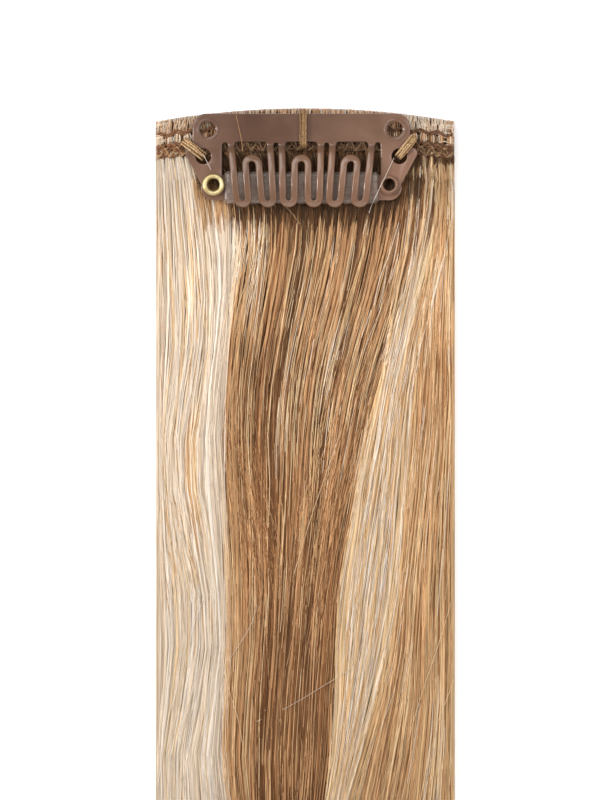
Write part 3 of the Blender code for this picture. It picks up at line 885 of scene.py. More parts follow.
def smooth_line(points, count):
    """Points at even steps along a smooth curve through a few points."""
    points = np.asarray(points, float)
    knots = run_length(points)
    ends = 2 * points[0] - points[1], 2 * points[-1] - points[-2]
    padded = np.concatenate([[ends[0]], points, [ends[1]]])
    t = np.linspace(0, knots[-1], count)
    k = np.clip(np.searchsorted(knots, t, side="right") - 1, 0, len(points) - 2)
    u = ((t - knots[k]) / (knots[k + 1] - knots[k]))[:, None]
    p0, p1, p2, p3 = padded[k], padded[k + 1], padded[k + 2], padded[k + 3]
    return 0.5 * (2 * p1 + (p2 - p0) * u + (2 * p0 - 5 * p1 + 4 * p2 - p3) * u**2
                  + (3 * p1 - p0 - 3 * p2 + p3) * u**3)


def plies(path, side, radius, ply_radius, pitch, phase, count=2):
    """Paths of the plies that twist round a thread's middle line."""
    tangent = unit(np.gradient(path, axis=0))
    side = unit(np.asarray(side, float) - tangent * (tangent @ np.asarray(side, float))[:, None])
    up = np.cross(tangent, side)
    length = run_length(path)
    made = []
    for ply in range(count):
        angle = (2 * math.pi * length / pitch + phase + 2 * math.pi * ply / count)[:, None]
        made.append(path + (radius - ply_radius) * (side * np.cos(angle) + up * np.sin(angle)))
    return made


def make_bundle(name, node_name, rows, passes, spread, seed, materials):
    """Several passes of twisted thread side by side along one route over the sheet."""
    rng = np.random.default_rng(seed)
    route = smooth_line(rows, 70)
    aim = unit(route[-1, :2] - route[0, :2])
    side = np.array([-aim[1], aim[0], 0.0])
    share = np.linspace(0, 1, len(route))[:, None]
    strands, tones = [], []
    for i in range(passes):
        place = (i / (passes - 1) - 0.5) * spread
        drift = rng.normal(0, spread * PASS_DRIFT, 2)
        swell = (1 - PASS_SWELL) + PASS_SWELL * np.sin(math.pi * share)
        shift = place * swell + drift[0] + (drift[1] - drift[0]) * share
        shift += PASS_SWAY * np.sin(2 * math.pi * (share * rng.uniform(1, 3) + rng.random()))
        lift = rng.uniform(*PASS_LIFT) + PASS_ARCH * (i % 2) * np.sin(math.pi * share)
        path = route + side * np.clip(shift, -spread / 2, spread / 2)
        path[:, 2:] += lift
        pitch, phase = rng.uniform(*TWIST_PITCH), rng.uniform(0, FULL_TURN)
        strands += plies(path, side, THREAD_RADIUS, PLY_RADIUS, pitch, phase)
        tones += [i % len(materials)] * 2
    bundle = tubes(name, strands, PLY_RADIUS, materials, tones, sides=6, across=side)
    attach(bundle, "clip")
    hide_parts(node_name)


def make_threads(materials, ear_materials):
    """The bundle over the middle of the bar and the two through the lower sewing holes."""
    over = SHEET_TOP + 0.00026
    into = WEFT_THICKNESS * 0.78

    def route(start, end, table):
        start, end = np.asarray(start), np.asarray(end)
        return [(*(start + (end - start) * share), level) for share, level in table]

    rows = route(
        (float(at_x(303.2)), CLIP_TOP + 0.00062),
        (float(at_x(302.6)), ROOT_Y - 0.00090),
        (
            (0.00, into), (0.02, SHEET_MIDDLE), (0.09, over), (0.30, over + 0.00006),
            (0.60, over + 0.00006), (0.82, over), (0.94, SHEET_MIDDLE), (1.00, into),
        ),
    )
    make_bundle("thread_over_bar", "thread_centre", rows, BAR_PASSES, BAR_SPREAD, 21, materials)
    ears = (
        ("thread_over_left_ear", "thread_left", -1, 0.0036, 142, 22),
        ("thread_over_right_ear", "thread_right", 1, 0.0035, 51, 23),
    )
    for name, node_name, side, reach, aim_deg, seed in ears:
        start = (CLIP_X + side * LOWER_HOLE[0], CLIP_TOP + LOWER_HOLE[1])
        aim = math.radians(aim_deg)
        end = (start[0] + reach * math.cos(aim), start[1] + reach * math.sin(aim))
        rows = route(
            start,
            end,
            (
                (-0.06, into), (-0.02, SHEET_MIDDLE), (0.12, over - 0.0001), (0.30, over + 0.00012),
                (0.55, over + 0.00010), (0.80, over - 0.00025), (0.94, SHEET_MIDDLE), (1.00, into),
            ),
        )
        make_bundle(name, node_name, rows, EAR_PASSES, EAR_SPREAD, seed, ear_materials)


# The weft


def weft_line(x, share):
    """Y of a line along the arched weft, at a share of its height from the lower edge."""
    x, share = np.asarray(x, float), np.asarray(share, float)
    drop = (2.0 * x / WEFT_WIDTH) ** 2
    low = WEFT_TOP - WEFT_MIDDLE_HEIGHT - WEFT_BOTTOM_RISE * drop
    high = WEFT_TOP - WEFT_TOP_RISE * drop
    return low + (high - low) * share


def weft_level(share):
    """Height of the weft's face at a share of its height in plan."""
    return WEFT_THICKNESS * np.interp(share, SECTION_SHARES, SECTION_RISES)


def on_weft(x, share, z):
    """Points at shares of the weft's height in plan, and at a level."""
    return np.stack([x, weft_line(x, share), z], -1)


# The weft's inside: columns, its share of the weft's thickness, the grooves between the ribs and
# the level of its underside
WEFT_COLUMNS = 199
WEFT_CORE = 0.93
RIB_GROOVE = 0.00025
CORE_BASE = 0.00028


def make_weft_body(tones):
    """The dense inside of the weft, deep brown as painted shade where it shows between its strands."""
    xs = np.linspace(WEFT_LOW.x + 0.00005, WEFT_HIGH.x - 0.00005, WEFT_COLUMNS)
    ribs = 0.5 - 0.5 * np.cos(2 * math.pi * (xs - WEFT_LOW.x) / RIB_PITCH)
    inner = 0.02 + 0.96 * SECTION_SHARES
    rings = []
    for x, rib in zip(xs, ribs):
        level = WEFT_THICKNESS * SECTION_RISES * WEFT_CORE - RIB_GROOVE * (1 - rib)
        top = on_weft(np.full(len(inner), x), inner, level)
        base = top[::-1] * (1, 1, 0) + (0, 0, CORE_BASE)
        rings.append(np.concatenate([top, base]))
    body = loft("weft_body", rings, [tones["deep_brown"]])
    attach(body, "clip")
    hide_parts("weft")


WEFT_PALETTE = ("pale_blond", "cream", "tan", "caramel", "brown", "dark_brown", "deep_brown")
# The puffs' middle chances, behind the clip, run dark: partly darker hair, partly painted shade of the clip
WEFT_CHANCES = {
    "fringe_left": (0.17, 0.25, 0.25, 0.15, 0.11, 0.07, 0.00),
    "fringe_middle": (0.06, 0.14, 0.26, 0.24, 0.18, 0.10, 0.02),
    "fringe_right": (0.44, 0.36, 0.14, 0.06, 0.00, 0.00, 0.00),
    "puff_left": (0.42, 0.28, 0.15, 0.08, 0.05, 0.02, 0.00),
    "puff_middle": (0.00, 0.03, 0.10, 0.13, 0.22, 0.28, 0.24),
    "puff_right": (0.09, 0.20, 0.30, 0.24, 0.11, 0.05, 0.01),
}


def weft_tone(part, x, rng):
    """Tone numbers of weft strands: pale at the left, dark behind the clip, partly as painted shade, tan at
    the right.
    """
    px = WEFT_LEFT_PX + (x - WEFT_LOW.x) / WEFT_WIDTH * (WEFT_RIGHT_PX - WEFT_LEFT_PX)
    shifted = px + rng.normal(0, 6, len(x))
    drawn = [
        rng.choice(len(WEFT_PALETTE), len(x), p=WEFT_CHANCES[part + zone])
        for zone in ("_left", "_middle", "_right")
    ]
    behind = np.where(shifted < CLIP_RIGHT_PX, drawn[1], drawn[2])
    return np.where(shifted < CLIP_LEFT_PX, drawn[0], behind)


# Strands of the weft: their number for each rib in fringe and puffs, for each rib underneath and
# at each side, the shares of their points along them, and their margin at the sides
WEFT_RIBS = round(WEFT_WIDTH / RIB_PITCH)
RIB_STRANDS, UNDER_STRANDS, END_STRANDS = 22, 7, 90
STEPS = np.linspace(0, 1, 11)
WEFT_MARGIN = 0.00012


def inside_weft(x):
    """X kept off both sides of the weft."""
    return np.clip(x, WEFT_LOW.x + WEFT_MARGIN, WEFT_HIGH.x - WEFT_MARGIN)


def at_rib(number):
    """X of places counted in ribs from the weft's left side."""
    return WEFT_LOW.x + number / WEFT_RIBS * WEFT_WIDTH


def fringe_strands(rng):
    """Loops from the zigzag row over the top edge, gathered towards the row's knots."""
    low_share, turn_over, knotting, settled = 0.62, 0.8, 0.45, 0.9
    scatter, arch, edge_drop, end_level = 0.00034, 0.00022, 0.00006, 0.00014
    count = WEFT_RIBS * RIB_STRANDS
    top_x = at_rib(np.repeat(np.arange(WEFT_RIBS), RIB_STRANDS) + rng.uniform(0, 1, count))
    knot = (np.floor((top_x - WEFT_LOW.x) / ZIGZAG_PITCH) + 0.5) * ZIGZAG_PITCH + WEFT_LOW.x
    low_x = top_x + (knot - top_x) * rng.uniform(0, knotting, count) + rng.normal(0, scatter, count)
    x = inside_weft(mix(low_x, top_x, smooth(STEPS / settled)))
    rising = np.clip(STEPS / turn_over, 0, 1)
    over = np.clip((STEPS - turn_over) / (1 - turn_over), 0, 1)
    reach = rng.uniform(0.90, 1.0, count)[:, None]
    share = low_share + (1 - low_share) * rising[None] * reach
    lift = rng.uniform(-0.00008, 0.00010, count)[:, None]
    z = weft_level(share) + lift + arch * np.sin(math.pi * rising)
    z = z * (1 - over) + end_level * over
    return on_weft(x, share, z) - (0, edge_drop, 0)


def puff_strands(rng):
    """Strands that bulge between the two stitch rows, drawn together at their ends."""
    high_share, reach, drawing, scatter = 0.64, 0.30, 0.55, 0.008
    bulge, sink, unevenness = 0.00034, 0.00012, 0.00006
    count = WEFT_RIBS * RIB_STRANDS
    within_rib = np.clip(rng.normal(0.5, 0.22, count), 0.04, 0.96)
    spots = np.repeat(np.arange(WEFT_RIBS), RIB_STRANDS) + within_rib
    centre = at_rib(np.floor(spots) + 0.5)
    x = inside_weft(mix(at_rib(spots), centre, drawing * (1 - np.sin(math.pi * STEPS))))
    share = high_share - reach * STEPS[None] + rng.normal(0, scatter, count)[:, None]
    crown = 1 - (2 * (spots - np.floor(spots)) - 1) ** 2
    z = weft_level(share) + (bulge * crown - sink)[:, None] * np.sin(math.pi * STEPS)[None]
    z += rng.uniform(-unevenness, unevenness, count)[:, None]
    return on_weft(x, share, z)


def end_strands(side, rng):
    """Strands that turn down over one side of the weft."""
    margin, scatter, lift, end_level = 0.00007, 0.0001, 0.00004, 0.00012
    turned_out, fall_start, slant = 0.4, 0.25, 0.03
    spot = rng.uniform(0.04, 0.98, END_STRANDS)[:, None]
    inward = rng.uniform(0.0004, 0.0016, END_STRANDS)[:, None] * (1 - smooth(STEPS / turned_out))[None]
    x = side * (WEFT_WIDTH / 2 - margin - rng.uniform(0, scatter, END_STRANDS)[:, None] - inward)
    fall = 1 - smooth((STEPS - fall_start) / (1 - fall_start))[None]
    z = (weft_level(spot) + lift) * fall + end_level
    return on_weft(x, spot + slant * np.sin(9 * spot) * STEPS[None], z)


def underside_strands(rng):
    """Strands over the weft's underside, from its upper edge to its lower one."""
    high_share, reach, level, scatter, sway = 0.985, 0.96, 0.00014, 0.0001, 0.0002
    spots = np.sort(rng.uniform(0, 1, WEFT_RIBS * UNDER_STRANDS))[:, None]
    x = WEFT_LOW.x + WEFT_MARGIN + (WEFT_WIDTH - 2 * WEFT_MARGIN) * spots
    x = inside_weft(x + sway * np.sin(5 * STEPS + 40 * spots))
    z = np.broadcast_to(level + rng.uniform(0, scatter, len(spots))[:, None], x.shape)
    return on_weft(x, high_share - reach * STEPS[None], z)


def make_weft_strands(tones):
    """The strands on the weft: fringe, puffs, both sides and underside."""
    rng = np.random.default_rng(31)
    parts = [("fringe", fringe_strands(rng)), ("puff", puff_strands(rng))]
    parts += [("puff", end_strands(side, rng)) for side in (-1, 1)]
    parts += [("fringe", underside_strands(rng))]
    half_way = len(STEPS) // 2
    picked = [weft_tone(part, points[:, half_way, 0], rng) for part, points in parts]
    paths = np.concatenate([points for _, points in parts])
    slots = [tones[n] for n in WEFT_PALETTE]
    strands = tubes("weft_strands", paths, WEFT_STRAND_RADIUS, slots, np.concatenate(picked))
    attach(strands, "clip")


# Threads of the zigzag row: place of the middle and reach as shares of the weft's height, phase
# and lift
ZIGZAG = (
    (0.655, 0.050, 0.00, 0.00026),
    (0.610, 0.045, 0.05, 0.00020),
)

# Cords of the braided row: place of the middle and reach as shares of the weft's height, phase,
# lift in millimetres and tone
BRAID = (
    (0.17, 0.055, 0.00, 0.22, 0),
    (0.17, 0.055, 0.50, 0.22, 1),
    (0.26, 0.075, 0.15, 0.16, 2),
    (0.26, 0.075, 0.65, 0.16, 0),
    (0.34, 0.050, 0.30, 0.22, 0),
    (0.34, 0.050, 0.80, 0.22, 1),
    (0.22, 0.085, 0.40, 0.30, 1),
    (0.30, 0.085, 0.90, 0.30, 0),
    (0.12, 0.012, 0.10, 0.14, 2),
    (0.39, 0.012, 0.60, 0.14, 2),
)


def make_stitches(rust, brown, dark):
    """The zigzag row above the puffs and the braided row below them."""
    rng = np.random.default_rng(36)
    zigzag_radius, zigzag_ply, zigzag_twist = 0.00014, 0.00008, 0.0009
    cord_radius, cord_ply, cord_twist = 0.00017, 0.0001, 0.0010
    x = np.linspace(WEFT_LOW.x + 0.0003, WEFT_HIGH.x - 0.0003, 340)
    knots = np.linspace(x[0], x[-1], 44)

    def uneven(reach):
        return np.interp(x, knots, rng.normal(0, reach, len(knots)))

    turns = (x - WEFT_LOW.x) / ZIGZAG_PITCH
    up = (0.0, 0.0, 1.0)

    zigzag = []
    for centre, height, phase, lift in ZIGZAG:
        wave = 2 / math.pi * np.arcsin(np.sin(2 * math.pi * (turns + phase)) * 0.985)
        share = centre + height * wave + uneven(0.014)
        path = on_weft(x, share, weft_level(share) + lift)
        zigzag += plies(path, up, zigzag_radius, zigzag_ply, zigzag_twist, phase)
    row = tubes("zigzag_stitch", zigzag, zigzag_ply, [rust], sides=5, across=up)
    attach(row, "clip")

    braid, picked = [], []
    for centre, height, phase, lift, tone in BRAID:
        share = centre + height * np.sin(2 * math.pi * (1.5 * turns + phase + uneven(0.05))) + uneven(0.012)
        rise = MM * lift + 0.00008 * np.sin(6 * math.pi * (turns + phase))
        path = on_weft(x, share, weft_level(share) + rise)
        braid += plies(path, up, cord_radius, cord_ply, cord_twist, phase)
        picked += [tone] * 2
    row = tubes("braid_stitch", braid, cord_ply, [rust, brown, dark], picked, sides=4, across=up)
    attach(row, "clip")


# The hair


def between(first, middle, last, share):
    """Value of the parabola through three values at shares 0, 1/2 and 1."""
    return (
        first * (1 - share) * (1 - 2 * share)
        + middle * 4 * share * (1 - share)
        + last * share * (2 * share - 1)
    )


HAIR_LENGTH = HAIR_HIGH.y - HAIR_LOW.y
HAIR_THICKNESS = HAIR_HIGH.z
START_CLEARANCE = 0.0003
HAIR_START = WEFT_TOP - WEFT_MIDDLE_HEIGHT - START_CLEARANCE
VALLEY_FILL = 0.45


def hair_level(distance):
    """Thickness of the hair between its locks, at a distance below the weft's middle."""
    clip_end = HAIR_START + START_CLEARANCE - (ROOT_Y - COMB_REACH - 0.0003)
    rows = [(0.0, HAIR_UNDER_CLIP - LOCK_CROWN), (clip_end, HAIR_UNDER_CLIP - LOCK_CROWN)]
    rows += [(HAIR_LENGTH * share, HAIR_THICKNESS * rise - LOCK_CROWN) for share, rise in HAIR_BODY]
    return np.interp(distance, [r[0] for r in rows], [r[1] for r in rows])


def lock_borders(share):
    """Left and right sides of the locks as shares of the width, at shares of the length."""
    rights = np.stack([between(a, b, c, share) for a, b, c, *_ in LOCKS], -1)
    return np.concatenate([np.zeros_like(rights[..., :1]), rights], -1)


def lock_at(x, share):
    """Numbers of the locks at places across, and the share of the full bulge there."""
    across = np.clip(x / WEFT_WIDTH + 0.5, 0.0005, 0.9995)
    borders = lock_borders(share)
    number = (across[..., None] >= borders[..., 1:-1]).sum(-1)
    left = np.take_along_axis(borders, number[..., None], -1)[..., 0]
    right = np.take_along_axis(borders, number[..., None] + 1, -1)[..., 0]
    return number, np.sqrt(np.sin(math.pi * np.clip((across - left) / (right - left), 0, 1)))


def hair_surface(x, y, least=VALLEY_FILL):
    """Height of the locks over points in plan, with their valleys filled to a least share."""
    number, hump = lock_at(x, np.clip((HAIR_START - y) / HAIR_LENGTH, 0, 1))
    crown = np.array([row[3] for row in LOCKS])[number]
    return hair_level(HAIR_START - y) + LOCK_CROWN * crown * (least + (1 - least) * hump)


def hair_end(x):
    """Y at which the hair of a lock ends, over places across the ends."""
    number, bulge = lock_at(x, np.ones_like(x))
    short = np.array([row[4] for row in LOCKS])[number]
    return HAIR_LOW.y + LOCK_END_NOTCH * ((1 - bulge) + short * bulge)


def make_hair_body(tones):
    """The locks' dense inside, ridged along its length, a little inside the strands, in each lock's deep
    tone as painted shade between them.
    """
    rng = np.random.default_rng(41)
    columns, rows = 14, 48
    under_strands, least = 0.00028, 0.0004
    shares = np.linspace(0, 1, rows + 1)
    borders = lock_borders(shares)
    lefts, widths = borders[:, :-1, None], np.diff(borders)[..., None]
    across = (lefts + widths * (np.arange(columns) / columns)).reshape(rows + 1, -1)
    across = np.concatenate([across, np.ones((rows + 1, 1))], axis=1)
    x = (across - 0.5) * (WEFT_WIDTH - 0.0002)
    start = weft_line(x, 0.0) + 0.0008
    end = hair_end(x[-1])[None] + 0.0006
    y = start + (end - start) * shares[:, None]
    ridge = rng.normal(0, 0.00005, across.shape[1])[None]
    z = np.maximum(hair_surface(x, y, 0.0) - under_strands + ridge, least)
    z = z + np.where(y > HAIR_START, 0.0002, 0.0)
    top = np.stack([x, y, z], -1)
    base = top[:, ::-1] * (1, 1, 0) + (0, 0, CORE_BASE)
    rings = np.concatenate([top, base], axis=1)
    names = sorted({row[-1] for row in LOCKS})
    lock_slots = np.repeat([names.index(row[-1]) for row in LOCKS], columns)
    ring_slots = np.concatenate([lock_slots, [lock_slots[-1]], lock_slots[::-1], [lock_slots[0]]])
    slots = np.concatenate([np.tile(ring_slots, rows), lock_slots, lock_slots])
    body = loft("hair_body", rings, [tones[n] for n in names], slots)
    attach(body, "clip")
    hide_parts("hair")


def zone_borders(py):
    """X pixels of the left side of each zone and of the last one's right side, at y pixels."""
    table = np.array(BORDERS, float)
    middle, reach = table[:, 0].mean(), np.ptp(table[:, 0]) / 2
    scaled = (np.asarray(py, float) - middle) / reach
    fits = [np.polyfit((table[:, 0] - middle) / reach, table[:, i], 5) for i in (1, 2, 3)]
    inner = [np.polyval(fit, scaled) for fit in fits]
    return [np.full_like(scaled, WEFT_LEFT_PX), *inner, np.full_like(scaled, WEFT_RIGHT_PX)]


# Rows of the photograph: where the hair shows first, where the strands end before they are
# fitted to the locks' ends, and first row and length of the stretches over which a stream takes
# its place half way and low down
FIRST_ROW = 155.0
LAST_ROW = 818.0
SETTLING = (150.0, 280.0)
LOWERING = (430.0, 200.0)


def flow(row, place, py):
    """X pixels of strands at places 0 to 1 across a stream, down y pixels."""
    _, zone, _, start, end, low_down, *_ = row
    reach, first, length = SWAYS[zone]
    number = ZONES.index(zone)
    borders = zone_borders(py)
    settled = smooth((py - SETTLING[0]) / SETTLING[1])
    lower = smooth((py - LOWERING[0]) / LOWERING[1])
    low = start[0] + (end[0] - start[0]) * settled + (low_down[0] - end[0]) * lower
    high = start[1] + (end[1] - start[1]) * settled + (low_down[1] - end[1]) * lower
    across = low + (high - low) * place
    sway = reach * np.sin(2 * math.pi * (py - first) / length) * 4 * np.clip(across * (1 - across), 0, 1)
    return borders[number] + across * (borders[number + 1] - borders[number]) + sway * settled


def keep_between(px, inset):
    """X pixels kept inside both sides of the hair by an inset."""
    return np.clip(px, WEFT_LEFT_PX + inset, WEFT_RIGHT_PX - inset)


# Where the hair leaves the braided row and where its roots lie, as shares of the weft's height,
# the length over which they rise onto the weft, how high they lie on it and how much of their
# depth they keep, and the least gap under a strand
LEAVING_SHARE = 0.17
ROOT_SHARE = 0.12
ROOT_RUN = 0.0022
ROOT_LIFT = 0.0001
ROOT_DEPTH = 0.7
LEAST_GAP = 0.00002


def root_row(px):
    """Y pixel at which hair at an x pixel leaves the braided row."""
    return WEFT_TOP_PX + (WEFT_TOP - weft_line(at_x(px), LEAVING_SHARE)) / PIXEL


# How far tufts are drawn together left and right of a column of the photograph, and the row and
# length over which they open out
TUFT_PINCHES = (0.24, 0.46)
TUFT_COLUMN = 400
TUFT_ROW, TUFT_RUN = 154.0, 22.0


def tuft(px, py):
    """Gather strands into the weft's tufts, which open out a little way down."""
    pitch = RIB_PITCH / PIXEL
    centre = WEFT_LEFT_PX + (np.floor((px[:, :1] - WEFT_LEFT_PX) / pitch) + 0.5) * pitch
    offset = px[:, :1] - centre
    pinch = np.where(px[:, :1] > TUFT_COLUMN, TUFT_PINCHES[1], TUFT_PINCHES[0])
    return px - pinch * offset * (1 - smooth((py - TUFT_ROW) / TUFT_RUN))


def lay(px, py, depth, radius):
    """Points of strands in space: on the locks, and up onto the weft at their roots."""
    x, y = at_x(px), at_y(py)
    z = hair_surface(x, y) + depth
    root = smooth(1 - (HAIR_START - y) / ROOT_RUN)
    z = z * (1 - root) + (weft_level(ROOT_SHARE) + ROOT_LIFT + depth * ROOT_DEPTH) * root
    return np.stack([x, y, np.maximum(z, radius + LEAST_GAP)], -1)


def pick_tones(chances, count, rng):
    """Places in the table of chances, drawn by chance."""
    return rng.choice(len(chances), count, p=np.array(list(chances.values())))


def pick_numbers(chances, count, rng):
    """Numbers in TONES, drawn by chance."""
    return np.array([list(TONES).index(name) for name in chances])[pick_tones(chances, count, rng)]


def join_strands(name, paths, radii, picked, tones):
    """One piece of all the strands, whose tones are numbers in TONES."""
    used = sorted(set(picked))
    names = list(TONES)
    strands = tubes(name, paths, radii, [tones[names[i]] for i in used], np.searchsorted(used, picked))
    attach(strands, "clip")


# How the strands of a stream gather into clumps: the share of the way to the clump's middle, the
# spread about it, the share that wander off and how far, in clumps; the waves of the clumps in
# pixels and of single strands; how high clumps and wanderers lie, and how often a clump's tone
# wins; the share of the length at which the cut end starts and its radius there; how far starts,
# in pixels, and ends scatter; where the waves set in, the inset at the sides and the least depth
CLUMP_TIGHTNESS = (0.2, 0.95)
CLUMP_SPREAD = 0.4
WANDERING_SHARE = 0.12
WANDER_REACH = 5.0
CLUMP_WAVE = 1.3
CLUMP_WAVELENGTH, WAVELENGTH_SPREAD = 170, 40
STRAND_WAVE, STRAND_WAVELENGTH = 0.2, 38
WEAVE = 0.000015
CLUMP_LIFT = 0.00009
WANDER_LIFT = 0.00008
PALE_DEPTH, STRAND_DEPTH = -0.00018, -0.00024
CLUMP_TONE_SHARE = 0.62
CUT_END = 0.99
CUT_END_RADIUS = 0.85
START_SCATTER = (-5.0, 1.0)
END_SCATTER = (0.00002, 0.0005)
WAVE_ROW, WAVE_RUN = 170.0, 80.0
SIDE_INSET, SIDE_SCATTER = 0.4, 2.2
TOP_DEPTH = 0.00004


def make_stream(number, row, tones):
    """One stream's strands, from inside the weft to the cut ends."""
    name, zone, count, _, half_way, _, clump, radii_mm, chances = row
    rng = np.random.default_rng(50 + number)
    t = np.sort(np.append(np.linspace(0, 1, 15) ** 1.2, CUT_END))
    clump = clump / (half_way[1] - half_way[0])
    place = rng.uniform(0, 1, count)
    group = np.floor(place / clump)
    tight = rng.uniform(*CLUMP_TIGHTNESS, count)
    end_place = place + ((group + 0.5) * clump - place) * tight
    end_place = end_place + rng.normal(0, CLUMP_SPREAD * clump, count)
    wander = rng.random(count) < WANDERING_SHARE
    end_place += np.where(wander, rng.normal(0, WANDER_REACH * clump, count), 0.0)
    end_place = np.clip(end_place, 0.0, 1.0)
    places = mix(place, end_place, smooth(t * 1.3))

    start_py = root_row(flow(row, place, np.full(count, FIRST_ROW)))
    start_py = start_py + rng.uniform(*START_SCATTER, count)
    py = mix(start_py, LAST_ROW, t)
    px = tuft(flow(row, places, py), py)
    phase = (group * 2.399) % (2 * math.pi)
    length = CLUMP_WAVELENGTH + WAVELENGTH_SPREAD * np.sin(group * 1.7)
    settled = smooth((py - WAVE_ROW) / WAVE_RUN)
    px += settled * CLUMP_WAVE * np.sin(2 * math.pi * py / length[:, None] + phase[:, None])
    px += settled * STRAND_WAVE * np.sin(py / STRAND_WAVELENGTH + rng.uniform(0, FULL_TURN, count)[:, None])
    inset = SIDE_INSET + np.abs(rng.normal(0, SIDE_SCATTER, count))[:, None]
    px = keep_between(px, inset)

    end = hair_end(at_x(px[:, -1])) + rng.uniform(*END_SCATTER, count)
    end_py = WEFT_TOP_PX + (WEFT_TOP - end) / PIXEL
    stretch = (end_py - start_py) / (LAST_ROW - start_py)
    py = start_py[:, None] + (py - start_py[:, None]) * stretch[:, None]
    radius = MM * rng.uniform(*radii_mm, count)
    lift = CLUMP_LIFT * np.sin(group * 4.1)
    deepest = PALE_DEPTH if zone == "pale" else STRAND_DEPTH
    depth = rng.uniform(deepest, TOP_DEPTH, count) + lift + np.where(wander, WANDER_LIFT, 0.0)
    weave = WEAVE * np.sin(2 * math.pi * t[None] * rng.uniform(1, 3, count)[:, None] + phase[:, None])
    paths = lay(px, py, depth[:, None] + weave, radius[:, None])
    taper = np.clip((1 - t) / (1 - CUT_END), CUT_END_RADIUS, 1.0)

    clump_tone = pick_tones(chances, int(group.max()) + 1, rng)
    own_tone = pick_tones(chances, count, rng)
    tone = np.where(rng.random(count) < CLUMP_TONE_SHARE, clump_tone[group.astype(int)], own_tone)
    slots = [tones[n] for n in chances]
    strands = tubes(name + "_strands", paths, radius[:, None] * taper[None], slots, tone)
    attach(strands, "clip")


# Rows of the photograph: accents that start above the first rise from the weft, and those that
# reach past the second stay on the surface to their end. Elsewhere they dive this deep under it,
# over this share of their length, and thin out to this share. Then the spread of their depths and
# of their lean
ROOTED_ROW = 165
STAY_ROW = 811
ACCENT_DIVE = 0.00045
DIVE_SHARE = 0.16
ACCENT_TIP = 0.4
ACCENT_SPREAD = 0.00004
LEAN_SPREAD = 0.012


def make_accents(tones):
    """Darker and lighter strands that come to the surface for part of their length, among them painted
    shadow under the clip and painted highlights.
    """
    rng = np.random.default_rng(70)
    streams = {row[0]: row for row in STREAMS}
    t = np.linspace(0, 1, 9)
    all_paths, all_radii, all_tones = [], [], []
    for stream, count, place_range, leaning, first, length, lift, chances in ACCENTS:
        row = streams[stream]
        place = rng.uniform(*place_range, count)
        lean = rng.normal(leaning, LEAN_SPREAD + abs(leaning) / 3, count)
        start_py = rng.uniform(*first, count)
        end_py = np.minimum(start_py + rng.uniform(*length, count), STAY_ROW + 1.0)
        py = mix(start_py, end_py, t)
        px = flow(row, place[:, None] + lean[:, None] * smooth(t)[None], py)
        root = root_row(px[:, :1])
        py = np.maximum(py, root + (py - py[:, :1]) * 0.9)
        px = keep_between(px, 1.0)
        radius = MM * rng.uniform(*row[7], count)
        last = np.where(end_py[:, None] > STAY_ROW, 1.0, 1 - t)
        shown = last if first[1] < ROOTED_ROW else np.minimum(t, last)
        dive = np.clip(shown / DIVE_SHARE, 0, 1)
        depth = rng.uniform(-ACCENT_SPREAD, ACCENT_SPREAD, count)[:, None] + MM * lift
        depth = depth - ACCENT_DIVE * (1 - smooth(dive))
        all_paths.append(lay(px, py, depth, radius[:, None]))
        all_radii.append(radius[:, None] * (ACCENT_TIP + (1 - ACCENT_TIP) * dive))
        all_tones.append(pick_numbers(chances, count, rng))
    paths, radii, picked = (np.concatenate(rows) for rows in (all_paths, all_radii, all_tones))
    join_strands("surface_strands", paths, radii, picked, tones)


# One strand of the underside for so many of a stream's, the strands of each side, their radius and
# levels, how far short of the hair's end they stop, the inset of the underside's in pixels, and
# their first row and length in the photograph's pixels
UNDERSIDE_RATIO = 12
SIDE_STRANDS = 120
OUTSIDE_RADIUS = 0.00009
UNDERSIDE_LEVEL = (0.00011, 0.00024)
SIDE_LEVEL = 0.00012
END_CLEARANCE = 0.0002
OUTSIDE_INSET = 1.2
OUTSIDE_ROW, OUTSIDE_RUN = 160, 655


def make_outside(tones):
    """Strands that close the underside and both sides of the hair."""
    rng = np.random.default_rng(80)
    t = np.linspace(0, 1, 11)
    all_paths, all_tones = [], []
    for row in STREAMS:
        count = row[2] // UNDERSIDE_RATIO
        py = OUTSIDE_ROW + OUTSIDE_RUN * t[None] + np.zeros((count, 1))
        px = flow(row, rng.uniform(0, 1, count)[:, None], py)
        x = at_x(keep_between(px, OUTSIDE_INSET))
        start = weft_line(x[:, :1], 0.1)
        y = start + (hair_end(x[:, -1:]) + END_CLEARANCE - start) * t[None]
        z = np.broadcast_to(rng.uniform(*UNDERSIDE_LEVEL, count)[:, None], x.shape)
        all_paths.append(np.stack([x, y, z], -1))
        all_tones.append(pick_numbers(row[-1], count, rng))
    for side, row in ((-1, STREAMS[0]), (1, STREAMS[-1])):
        count = SIDE_STRANDS
        inset = 0.00010 + rng.uniform(0, 0.00014, count)[:, None]
        sway = 0.00004 * np.sin(7 * t[None] + rng.uniform(0, 6, count)[:, None])
        x = side * (WEFT_WIDTH / 2 - inset - sway)
        y = HAIR_START + (hair_end(x[:, -1:]) + END_CLEARANCE - HAIR_START) * t[None]
        share = rng.uniform(0.05, 0.98, count)[:, None]
        share = share + 0.03 * np.sin(5 * t[None] + rng.uniform(0, 6, count)[:, None])
        z = SIDE_LEVEL + (hair_surface(x, y) - 0.0002) * np.clip(share, 0.02, 1.0)
        all_paths.append(np.stack([x, y, z], -1))
        all_tones.append(pick_numbers(row[-1], count, rng))
    picked = np.concatenate(all_tones)
    join_strands("outside_strands", np.concatenate(all_paths), OUTSIDE_RADIUS, picked, tones)


